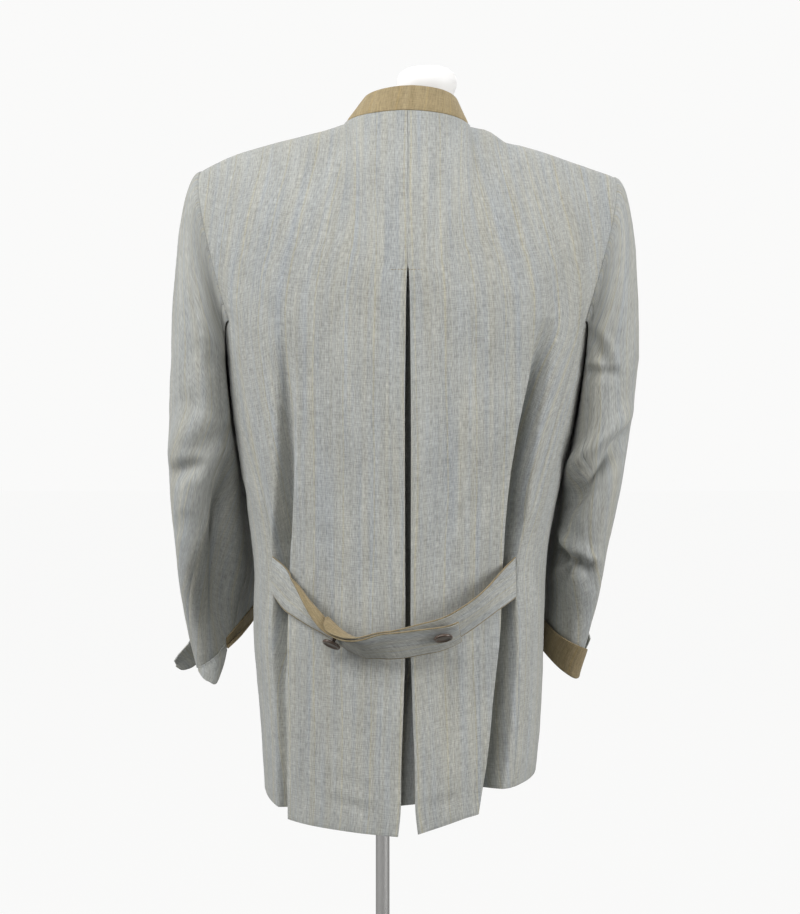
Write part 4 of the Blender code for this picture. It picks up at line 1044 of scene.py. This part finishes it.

# Half belt: two straps from the side-back seams, the left lapped over the right and buttoned. Each is a grey
# face bagged out on an olive backing, which shows where the slack left end flops over; the backing is olive
# linen darkened all over with painted shade.
BELT_DROP = {-1: 0.522, 1: 0.524}
BELT_CLOTH = 0.0012
BACKING_CLOTH = 0.0010
BELT_HALF = 0.0169
RIGHT_BELT_HALF = 0.0167
BELT_FLARE = 0.005
BELT_FLARE_FROM = 0.305
BELT_LEFT_END = 0.259
BELT_RIGHT_END = 0.099
STEEPER = math.radians(15)
STEEPER_FROM = 0.175
STEEPER_TO = 0.260
STEEPER_RUN = 0.050
STRAP_TIP_SHARE = 0.45
STRAP_TIP_LONG = 0.014
BELT_SEAT = {-1: 0.0026, 1: 0.0044}
BELT_START = 0.0012
BELT_FREE = 0.060
LAYER_GAP = 0.0009
BACKING_EDGE = 0.0006
END_SAG = 0.0030
END_SAG_FROM = 0.205
Strap = namedtuple("Strap", "run x y drop lean")
STRAP = (
    Strap(0.036, -0.133, -0.118, 0.539, 12),
    Strap(0.078, -0.110, -0.148, 0.565, 64),
    Strap(0.112, -0.086, -0.154, 0.586, 85),
    Strap(0.170, -0.030, -0.161, 0.597, 37),
    Strap(0.227, 0.026, -0.160, 0.590, 37),
    Strap(0.262, 0.058, -0.153, 0.578, 42),
    Strap(0.310, 0.092, -0.137, 0.551, 18),
    Strap(0.335, 0.108, -0.122, 0.537, 6),
)
STRAP_LENGTH = 0.360
Guide = namedtuple("Guide", "run x y drop")
SLUMP = {
    "low": (
        Guide(0.018, -0.1480, -0.0890, 0.5495),
        Guide(0.037, -0.1385, -0.0990, 0.5600),
        Guide(0.062, -0.1255, -0.1105, 0.5680),
        Guide(0.084, -0.1110, -0.1190, 0.5765),
        Guide(0.104, -0.0950, -0.1260, 0.5850),
        Guide(0.120, -0.0795, -0.1310, 0.5945),
        Guide(0.136, -0.0640, -0.1370, 0.6040),
        Guide(0.155, -0.0440, -0.1435, 0.6115),
        Guide(0.180, -0.0200, -0.1495, 0.6110),
    ),
    "fold": (
        Guide(0.018, -0.1405, -0.0945, 0.5190),
        Guide(0.037, -0.1235, -0.1100, 0.5280),
        Guide(0.062, -0.1095, -0.1270, 0.5450),
        Guide(0.084, -0.0980, -0.1380, 0.5575),
        Guide(0.104, -0.0865, -0.1460, 0.5700),
        Guide(0.120, -0.0735, -0.1520, 0.5815),
        Guide(0.136, -0.0610, -0.1600, 0.5890),
        Guide(0.155, -0.0450, -0.1650, 0.5935),
        Guide(0.180, -0.0215, -0.1680, 0.5890),
    ),
    "high": (
        Guide(0.018, -0.1390, -0.0930, 0.5135),
        Guide(0.037, -0.1265, -0.1130, 0.5300),
        Guide(0.062, -0.1145, -0.1320, 0.5510),
        Guide(0.084, -0.1040, -0.1455, 0.5675),
        Guide(0.104, -0.0925, -0.1550, 0.5800),
        Guide(0.120, -0.0780, -0.1630, 0.5880),
        Guide(0.136, -0.0630, -0.1705, 0.5910),
        Guide(0.155, -0.0455, -0.1725, 0.5890),
        Guide(0.180, -0.0220, -0.1725, 0.5830),
    ),
}
SLUMP_AT_SEAM = {"low": -0.0195, "fold": 0.0140, "high": 0.0195}
SLUMP_FADE = 0.148
SLUMP_END = 0.186
FOLD_SOFT = 0.0035


@lru_cache(maxsize=None)
def strap_rows():
    """The strap's table with its two sewn ends at the side-back seams."""
    ends = {}
    for side in SIDES:
        v = 1 - (BELT_DROP[side] - ARMPIT) / (HEM[side].back_seam - ARMPIT)
        seat = back_surface(side, 1.0, v)
        seat += facing(partial(back_surface, side), 1.0, v, side) * BELT_SEAT[side]
        ends[side] = (seat.x - JACKET_X, seat.y, NECK_Z - seat.z)
    return (Strap(0.0, *ends[-1], 0), *STRAP, Strap(STRAP_LENGTH, *ends[1], 0))


def belt_line(run):
    return world(*(along(strap_rows(), field, run) for field in ("x", "y", "drop")))


@lru_cache(maxsize=None)
def belt_frame(run):
    """Middle of the belt, its upward and outward directions, and its lean; upright at its seams."""
    step = 0.002
    forward = (belt_line(run + step) - belt_line(run - step)).normalized()
    free = ease(run / BELT_FREE) * ease((STRAP_LENGTH - run) / BELT_FREE)
    up = Vector((0.0, 0.0, 1.0))
    up = (up - forward * up.dot(forward) * free).normalized()
    return belt_line(run), up, forward.cross(up).normalized(), math.radians(along(strap_rows(), "lean", run))


def taut_point(word, run, across):
    """A strap where it is flat; the left one's end sags and the right one stands steeper behind it."""
    middle, up, out, lean = belt_frame(run)
    if word == "left":
        middle = middle - up * END_SAG * ease((run - END_SAG_FROM) / (BELT_LEFT_END - END_SAG_FROM))
        return middle + (up * math.cos(lean) + out * math.sin(lean)) * across
    low = middle - (up * math.cos(lean) + out * math.sin(lean)) * BELT_HALF
    lean -= STEEPER * ease((run - STEEPER_FROM) / STEEPER_RUN) * (1 - ease((run - STEEPER_TO) / STEEPER_RUN))
    return low + (up * math.cos(lean) + out * math.sin(lean)) * (across + BELT_HALF)


@lru_cache(maxsize=None)
def slump_guides(run):
    """Lower edge, fold and upper edge of the slumped strap."""
    seam = strap_rows()[0]
    points = []
    for line, above in SLUMP_AT_SEAM.items():
        rows = (Guide(0.0, seam.x, seam.y, seam.drop - above), *SLUMP[line])
        points.append(world(*(along(rows, field, run) for field in ("x", "y", "drop"))))
    return points


def slumped_point(run, across):
    """The belt's left end: its upper part flops outwards over a fold and shows the backing."""
    low, fold, high = slump_guides(run)
    face, flap = fold - low, high - fold
    at = mix(-face.length, flap.length, (across / BELT_HALF + 1) / 2)
    round_off = math.hypot(at, FOLD_SOFT)
    return fold + face.normalized() * (at - round_off) / 2 + flap.normalized() * (at + round_off) / 2


def belt_sheet(word, run, across):
    if run > SLUMP_END:
        return taut_point(word, run, across)
    slumped = slumped_point(run, across)
    if run < SLUMP_FADE:
        return slumped
    return slumped.lerp(taut_point(word, run, across), ease((run - SLUMP_FADE) / (SLUMP_END - SLUMP_FADE)))


def belt_point(word, run, across, level):
    """Point on a strap at a distance across it and a level behind the belt's outer face."""
    step = 0.0006
    ahead = belt_sheet(word, run + step, across) - belt_sheet(word, run - step, across)
    up = belt_sheet(word, run, across + step) - belt_sheet(word, run, across - step)
    return belt_sheet(word, run, across) - ahead.cross(up).normalized() * level


def strap_half(word, run):
    """Half width of a strap; the right one's hidden end is rounded, and it flares at its seam."""
    if word == "left":
        return BELT_HALF
    short = 1 - min((run - BELT_RIGHT_END) / STRAP_TIP_LONG, 1.0)
    flare = BELT_FLARE * ease((run - BELT_FLARE_FROM) / (STRAP_LENGTH - BELT_FLARE_FROM))
    return RIGHT_BELT_HALF * mix(STRAP_TIP_SHARE, 1.0, math.sqrt(1 - short * short)) + flare


BELT_COLUMNS = 26
BELT_ROWS = 140
STRAP_SPANS = {"left": (BELT_START, BELT_LEFT_END), "right": (BELT_RIGHT_END, STRAP_LENGTH - BELT_START)}
STRAP_DEPTH = {"left": 0.0, "right": BELT_CLOTH + BACKING_CLOTH + 2 * SEAM + LAYER_GAP}


def strap_point(word, edge, depth, q, run):
    """Point on a strap's layer, q across it from one edge (-1) to the other (1)."""
    return belt_point(word, run, q * (strap_half(word, run) + edge), depth)


for word, (first, last) in STRAP_SPANS.items():
    for part, behind, edge, cloth in (
        ("face", 0.0, 0.0, Cloth(GREY_LINEN, BELT_CLOTH, "linen_grey")),
        # The backing is olive linen darkened with painted shade.
        ("backing", BELT_CLOTH + SEAM, BACKING_EDGE, Cloth(SHADED_OLIVE_LINEN, BACKING_CLOTH, "linen_olive")),
    ):
        runs = spread(first, last + (edge if word == "left" else 0.0), BELT_ROWS)
        layer = partial(strap_point, word, edge, STRAP_DEPTH[word] + behind)
        laid = lay_cloth(layer, spread(-1.0, 1.0, BELT_COLUMNS), runs, -1)
        sew_in("belt_%s_%s" % (word, part), laid, cloth)

# Sewing: a bar of ochre stitches that ends the centre-back seam over the pleat, and the belt's olive piping, a
# thin cord of linen caught between face and backing along the edges and the free end of each strap.
STITCH_LONG = 0.0024
STITCH_PITCH = 0.0033
STITCH_THICK = 0.00032
STITCH_STEP = 0.0008
BAR_DROP = 0.1835
BAR_HALF = 0.0165
BAR_ASIDE = 0.001
BAR_NEAR = 0.0012
uneven_finish = bpy.data.node_groups.new("uneven finish", "ShaderNodeTree")
for socket, kind in (
    ("Place", "Vector"),
    ("Stretch", "Vector"),
    ("Detail", "Float"),
    ("Smooth", "Float"),
    ("Rough", "Float"),
):
    uneven_finish.interface.new_socket(socket, in_out="INPUT", socket_type="NodeSocket" + kind)
for socket in ("Grain", "Roughness"):
    uneven_finish.interface.new_socket(socket, in_out="OUTPUT", socket_type="NodeSocketFloat")
finish_in = uneven_finish.nodes.new("NodeGroupInput")
finish_out = uneven_finish.nodes.new("NodeGroupOutput")
finish_place = uneven_finish.nodes.new("ShaderNodeVectorMath")
finish_place.operation = "MULTIPLY"
finish_grain = uneven_finish.nodes.new("ShaderNodeTexNoise")
finish_grain.inputs["Scale"].default_value = 1.0
finish_polish = uneven_finish.nodes.new("ShaderNodeMapRange")
for source, target in (
    (finish_in.outputs["Place"], finish_place.inputs[0]),
    (finish_in.outputs["Stretch"], finish_place.inputs[1]),
    (finish_place.outputs["Vector"], finish_grain.inputs["Vector"]),
    (finish_in.outputs["Detail"], finish_grain.inputs["Detail"]),
    (finish_grain.outputs["Fac"], finish_out.inputs["Grain"]),
    (finish_grain.outputs["Fac"], finish_polish.inputs["Value"]),
    (finish_in.outputs["Smooth"], finish_polish.inputs["To Min"]),
    (finish_in.outputs["Rough"], finish_polish.inputs["To Max"]),
    (finish_polish.outputs["Result"], finish_out.inputs["Roughness"]),
):
    uneven_finish.links.new(source, target)


def uneven(tree, stretch, detail, smooth=0.0, rough=1.0):
    """Grain and roughness of the uneven finish on a piece's own coordinates."""
    place = tree.nodes.new("ShaderNodeTexCoord")
    finish = tree.nodes.new("ShaderNodeGroup")
    finish.node_tree = uneven_finish
    for key, value in (("Stretch", stretch), ("Detail", detail), ("Smooth", smooth), ("Rough", rough)):
        finish.inputs[key].default_value = value
    tree.links.new(place.outputs["Object"], finish.inputs["Place"])
    return finish.outputs["Grain"], finish.outputs["Roughness"]


ochre_thread, thread_tree, thread_shader = start_look("ochre thread")
thread_shader.inputs["Roughness"].default_value = 0.75
thread_twist, _ = uneven(thread_tree, (900.0, 900.0, 900.0), detail=2.0)
thread_tones = thread_tree.nodes.new("ShaderNodeMix")
thread_tones.data_type = "RGBA"
thread_tones.inputs["A"].default_value = (0.2475, 0.1950, 0.1125, 1.0)
thread_tones.inputs["B"].default_value = (0.3960, 0.3120, 0.1800, 1.0)
thread_tree.links.new(thread_twist, thread_tones.inputs["Factor"])
thread_tree.links.new(thread_tones.outputs["Result"], thread_shader.inputs["Base Color"])


def bar_line(x):
    """Point of the bar of stitches, and the outward direction there."""
    side = 1 if x >= 0 else -1
    v = 2 - BAR_DROP / ARMPIT
    u = max(abs(x), BAR_NEAR) / seams(side, ARMPIT)[0]
    out = facing(partial(back_surface, side), max(u, CENTRE_NEAR), v, side)
    return back_surface(side, u, v) + out * STITCH_THICK, out


bar = bmesh.new()
stitches = round(2 * BAR_HALF / STITCH_PITCH)
for i in range(stitches):
    x = mix(-BAR_HALF, BAR_HALF, (i + 0.5) / stitches) - BAR_ASIDE
    here, out = bar_line(x)
    ahead = (bar_line(x + STITCH_STEP)[0] - bar_line(x - STITCH_STEP)[0]).normalized()
    aside = out.cross(ahead).normalized()
    turn = Matrix((ahead * STITCH_LONG / 2, aside * STITCH_THICK, out * STITCH_THICK)).transposed().to_4x4()
    spot = Matrix.Translation(here) @ turn
    bmesh.ops.create_uvsphere(bar, u_segments=6, v_segments=4, radius=1.0, matrix=spot)
bmesh.ops.recalc_face_normals(bar, faces=bar.faces)
for face in bar.faces:
    face.smooth = True
bar_tack = place_mesh("pleat_bar_tack", bar, ochre_thread)
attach(bar_tack, "root")

PIPING_RADIUS = 0.0009
PIPING_SIDES = 8
PIPING_STEP = 0.002
EDGE_PROBE = 0.95
PROBE = 0.001
WELD = 1e-6
PIPING = linen_look(
    "olive piping", cool=(0.225, 0.180, 0.105), warm=(0.290, 0.240, 0.150), contrast=0.12, tint=0.3
)


def sew_piping(name, line, ends):
    """Round cord sewn along line(t), which gives a point and two directions across it."""
    steps = math.ceil(abs(ends[1] - ends[0]) / PIPING_STEP)
    shape = bmesh.new()
    bmesh.ops.create_grid(shape, x_segments=PIPING_SIDES, y_segments=steps, size=1)
    cloth_map = shape.loops.layers.uv.new("cloth")
    for vert in shape.verts:
        turn = math.pi * vert.co.x
        here, aside, out = line(mix(*ends, (vert.co.y + 1) / 2))
        vert.co = here + (aside * math.cos(turn) + out * math.sin(turn)) * PIPING_RADIUS
    for face in shape.faces:
        face.smooth = True
        for loop in face.loops:
            loop[cloth_map].uv = (loop.vert.co.x, loop.vert.co.z)
    bmesh.ops.remove_doubles(shape, verts=shape.verts, dist=WELD)
    bmesh.ops.holes_fill(shape, edges=[edge for edge in shape.edges if edge.is_boundary])
    bmesh.ops.recalc_face_normals(shape, faces=shape.faces)
    piece = place_mesh(name, shape, PIPING)
    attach(piece, "root")


def belt_edge(word, run, across):
    """Middle of the piping at a strap's edge, with the directions outwards along and off the cloth there."""
    level = STRAP_DEPTH[word] + BELT_CLOTH
    here = belt_point(word, run, across, level)
    inner = belt_point(word, run, across * EDGE_PROBE, level)
    behind = belt_point(word, run, across, level + PROBE)
    return here, (here - inner).normalized(), (here - behind).normalized()


def edge_line(word, sign, run):
    """Piping along a strap's lower (-1) or upper (1) edge."""
    return belt_edge(word, run, sign * (strap_half(word, run) + BACKING_EDGE))


def end_line(word, run, across):
    """Piping across a strap's end."""
    here, _, out = belt_edge(word, run, across)
    ahead = belt_point(word, run + PROBE, across, 0.0) - belt_point(word, run, across, 0.0)
    return here, ahead.normalized(), out


for word, ends in STRAP_SPANS.items():
    for edge, sign in (("low", -1), ("high", 1)):
        sew_piping("belt_%s_%s_piping" % (word, edge), partial(edge_line, word, sign), ends)
for word, run, half in (
    ("left", BELT_LEFT_END, BELT_HALF),
    ("right", BELT_RIGHT_END, STRAP_TIP_SHARE * RIGHT_BELT_HALF),
):
    reach = half + BACKING_EDGE
    sew_piping("belt_%s_end_piping" % word, partial(end_line, word, run), (-reach, reach))

# Horn buttons, turned with a raised rim round a shallow dish: two on the belt, five down the left front. Each
# stands off the cloth on a shank of thread.
BUTTON_RADIUS = 0.0105
BUTTON_THICK = 0.0038
BUTTON_SHANK_RADIUS = 0.0028
FRONT_BUTTON_SHANK = 0.0014
BUTTON_STEPS = 40
BeltButton = namedtuple("BeltButton", "name run across shank droop")
BELT_BUTTONS = (
    BeltButton("belt_button_left", 0.1165, -0.007, 0.0085, 0.8),
    BeltButton("belt_button_right", 0.2395, 0.0075, 0.0022, 1.0),
)
FRONT_BUTTON_ROWS = (1.82, 1.32, 0.948, 0.802, 0.656)
BUTTON_SEAT = 0.0003
Turning = namedtuple("Turning", "radius height")
BUTTON_PROFILE = (
    Turning(0.70, 0.00),
    Turning(0.90, 0.10),
    Turning(0.98, 0.32),
    Turning(1.00, 0.52),
    Turning(0.985, 0.78),
    Turning(0.93, 0.96),
    Turning(0.86, 1.00),
    Turning(0.79, 0.95),
    Turning(0.74, 0.78),
    Turning(0.70, 0.68),
    Turning(0.58, 0.66),
    Turning(0.55, 0.62),
    Turning(0.30, 0.63),
    Turning(0.12, 0.66),
)
horn, horn_tree, horn_shader = start_look("polished horn")
horn_shader.inputs["Coat Weight"].default_value = 0.3
horn_streaks, horn_polish = uneven(horn_tree, (90.0, 260.0, 420.0), detail=5.0, smooth=0.22, rough=0.42)
horn_tones = horn_tree.nodes.new("ShaderNodeValToRGB")
horn_tones.color_ramp.elements[0].position = 0.3
horn_tones.color_ramp.elements[0].color = (0.030, 0.020, 0.015, 1.0)
horn_tones.color_ramp.elements[1].position = 0.75
horn_tones.color_ramp.elements[1].color = (0.155, 0.105, 0.075, 1.0)
horn_tree.links.new(horn_streaks, horn_tones.inputs["Fac"])
horn_tree.links.new(horn_tones.outputs["Color"], horn_shader.inputs["Base Color"])
horn_tree.links.new(horn_polish, horn_shader.inputs["Roughness"])


def turn_up(profile, steps):
    """Bmesh turned about Z from a profile of (radius, height) that starts and ends on the axis."""
    shape = bmesh.new()
    points = [shape.verts.new((radius, 0.0, height)) for radius, height in profile]
    edges = [shape.edges.new(pair) for pair in zip(points, points[1:])]
    bmesh.ops.spin(
        shape,
        geom=points + edges,
        cent=(0, 0, 0),
        axis=(0, 0, 1),
        angle=math.tau,
        steps=steps,
        use_merge=True,
    )
    bmesh.ops.remove_doubles(shape, verts=shape.verts, dist=WELD)
    bmesh.ops.recalc_face_normals(shape, faces=shape.faces)
    return shape


def fit(node, shape, look, sharp_deg=40):
    """Hard piece in place of a node of the frame."""
    for face in shape.faces:
        face.smooth = True
    piece = place_mesh(node, shape, look, "_piece")
    piece.data.set_sharp_from_angle(angle=math.radians(sharp_deg))
    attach(piece, "root")
    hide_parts(node)


seats = []
for button in BELT_BUTTONS:
    on = belt_point("left", button.run, button.across, 0.0)
    out = (belt_point("left", button.run, button.across, -PROBE) - on).normalized()
    out = (out - Vector((0.0, 0.0, button.droop))).normalized()
    seats.append((button.name, on, out, button.shank))
for number, v in enumerate(FRONT_BUTTON_ROWS, 1):
    out = facing(partial(front_point, -1), 0.0, v, 1)
    seats.append(("front_button_%d" % number, front_point(-1, 0.0, v), out, FRONT_BUTTON_SHANK))
for name, on, out, shank in seats:
    profile = [(0.0, 0.0), (BUTTON_SHANK_RADIUS, 0.0), (BUTTON_SHANK_RADIUS, shank)]
    profile += [(BUTTON_RADIUS * t.radius, shank + BUTTON_THICK * t.height) for t in BUTTON_PROFILE]
    profile.append((0.0, shank + BUTTON_THICK * BUTTON_PROFILE[-1].height))
    shape = turn_up(profile, BUTTON_STEPS)
    upright = Vector((0.0, 0.0, 1.0)).rotation_difference(out).to_matrix().to_4x4()
    bmesh.ops.transform(shape, matrix=upright, verts=shape.verts)
    bmesh.ops.translate(shape, vec=on + out * BUTTON_SEAT, verts=shape.verts)
    fit(name, shape, horn)

# Limbless dress form with a neck: a smooth white shell with a satin finish. Its closed underside holds a socket
# for the pole.
FORM_SIDES = 64
FORM_PARTS = 4
FORM_SQUARE = 2.2
FORM_SHARP = 60
SOCKET_DEEP = 0.060
POLE_RADIUS = 0.008
STAND_CLEAR = 0.0003
Form = namedtuple("Form", "drop x half_width back front tilt")
FORM = (
    Form(-0.0625, 0.0225, 0.015, 0.018, 0.018, 0.000),
    Form(-0.0605, 0.0225, 0.024, 0.029, 0.028, 0.000),
    Form(-0.054, 0.0225, 0.0325, 0.037, 0.036, 0.000),
    Form(-0.044, 0.0225, 0.0350, 0.040, 0.038, 0.000),
    Form(-0.028, 0.0195, 0.0330, 0.036, 0.036, 0.000),
    Form(-0.006, 0.0178, 0.0330, 0.039, 0.037, 0.010),
    Form(0.012, 0.013, 0.042, 0.042, 0.038, 0.030),
    Form(0.019, 0.006, 0.056, 0.038, 0.028, 0.0385),
    Form(0.0230, 0.002, 0.100, 0.030, 0.015, 0.0385),
    Form(0.0285, 0.000, 0.1345, 0.030, 0.016, 0.0390),
    Form(0.042, 0.000, 0.160, 0.046, 0.027, 0.0385),
    Form(0.060, 0.000, 0.174, 0.062, 0.044, 0.0385),
    Form(0.090, 0.000, 0.182, 0.078, 0.058, 0.0385),
    Form(0.140, 0.000, 0.184, 0.090, 0.082, 0.037),
    Form(0.235, -0.002, 0.172, 0.090, 0.104, 0.034),
    Form(0.340, -0.006, 0.152, 0.080, 0.102, 0.026),
    Form(0.430, -0.012, 0.130, 0.072, 0.094, 0.018),
    Form(0.510, -0.018, 0.120, 0.070, 0.092, 0.010),
    Form(0.600, -0.024, 0.120, 0.076, 0.094, 0.004),
    Form(0.645, -0.028, 0.112, 0.072, 0.088, 0.000),
    Form(0.660, -0.029, 0.098, 0.062, 0.076, 0.000),
)
satin, satin_tree, satin_shader = start_look("white satin")
satin_shader.inputs["Base Color"].default_value = (0.93, 0.92, 0.91, 1.0)
satin_grain, satin_gloss = uneven(satin_tree, (260.0, 260.0, 260.0), detail=3.0, smooth=0.38, rough=0.58)
satin_bump = satin_tree.nodes.new("ShaderNodeBump")
satin_bump.inputs["Strength"].default_value = 0.06
satin_bump.inputs["Distance"].default_value = 0.0004
satin_tree.links.new(satin_gloss, satin_shader.inputs["Roughness"])
satin_tree.links.new(satin_grain, satin_bump.inputs["Height"])
satin_tree.links.new(satin_bump.outputs["Normal"], satin_shader.inputs["Normal"])


def form_point(turn, drop):
    s, c = math.sin(math.tau * turn), math.cos(math.tau * turn)
    x = along(FORM, "half_width", drop) * math.copysign(abs(s) ** (2 / FORM_SQUARE), s)
    depth = along(FORM, "back" if c > 0 else "front", drop)
    y = -depth * math.copysign(abs(c) ** (2 / FORM_SQUARE), c)
    return world(along(FORM, "x", drop) + x, y, drop + along(FORM, "tilt", drop) * x)


def new_verts(made):
    return [item for item in made["geom"] if isinstance(item, bmesh.types.BMVert)]


def new_edges(made):
    return [item for item in made["geom"] if isinstance(item, bmesh.types.BMEdge)]


form_drops = refine([row.drop for row in FORM], FORM_PARTS)
shape = bmesh.new()
bmesh.ops.create_grid(shape, x_segments=FORM_SIDES, y_segments=len(form_drops) - 1, size=1)
for vert in shape.verts:
    step = round((vert.co.y + 1) / 2 * (len(form_drops) - 1))
    vert.co = form_point((vert.co.x + 1) / 2, form_drops[step])
bmesh.ops.remove_doubles(shape, verts=shape.verts, dist=WELD)
low_ring = FORM[-1]
form_bottom = NECK_Z - low_ring.drop
middle = Vector((JACKET_X + low_ring.x, (low_ring.front - low_ring.back) / 2))
rims = {True: [], False: []}
for edge in shape.edges:
    if edge.is_boundary:
        rims[edge.verts[0].co.z > NECK_Z].append(edge)
bmesh.ops.edgeloop_fill(shape, edges=rims[True])
underside = bmesh.ops.extrude_edge_only(shape, edges=rims[False])
for vert in new_verts(underside):
    aside = (vert.co.xy - middle).normalized() * (POLE_RADIUS + STAND_CLEAR)
    vert.co = (aside.x, aside.y, form_bottom)
socket = bmesh.ops.extrude_edge_only(shape, edges=new_edges(underside))
for vert in new_verts(socket):
    vert.co.z = form_bottom + SOCKET_DEEP
bmesh.ops.edgeloop_fill(shape, edges=new_edges(socket))
bmesh.ops.recalc_face_normals(shape, faces=shape.faces)
fit("form_torso", shape, satin, FORM_SHARP)

# Chrome stand: a slim steel tube from the form's socket into the boss of a heavy round base. Both are turned,
# polished and plated.
BOSS_FLOOR = 0.004
STAND_STEPS = 72
BASE_PROFILE = (
    Turning(0.0000, 0.0000),
    Turning(0.1480, 0.0000),
    Turning(0.1500, 0.0020),
    Turning(0.1500, 0.0060),
    Turning(0.1488, 0.0085),
    Turning(0.1460, 0.0100),
    Turning(0.0220, 0.0118),
    Turning(0.0180, 0.0135),
    Turning(0.0160, 0.0170),
    Turning(0.0160, 0.0310),
    Turning(0.0152, 0.0332),
    Turning(0.0130, 0.0340),
    Turning(POLE_RADIUS + STAND_CLEAR, 0.0340),
    Turning(POLE_RADIUS + STAND_CLEAR, BOSS_FLOOR),
    Turning(0.0000, BOSS_FLOOR),
)
chrome, chrome_tree, chrome_shader = start_look("polished chrome")
chrome_shader.inputs["Base Color"].default_value = (0.86, 0.85, 0.84, 1.0)
chrome_shader.inputs["Metallic"].default_value = 1.0
_, chrome_gloss = uneven(chrome_tree, (35.0, 35.0, 35.0), detail=6.0, smooth=0.10, rough=0.26)
chrome_tree.links.new(chrome_gloss, chrome_shader.inputs["Roughness"])
pole_low, pole_high = BOSS_FLOOR + STAND_CLEAR, form_bottom + SOCKET_DEEP - STAND_CLEAR
pole = [(0.0, pole_low), (POLE_RADIUS, pole_low), (POLE_RADIUS, pole_high), (0.0, pole_high)]
fit("form_pole", turn_up(pole, STAND_STEPS), chrome)
fit("form_base", turn_up(BASE_PROFILE, STAND_STEPS), chrome)
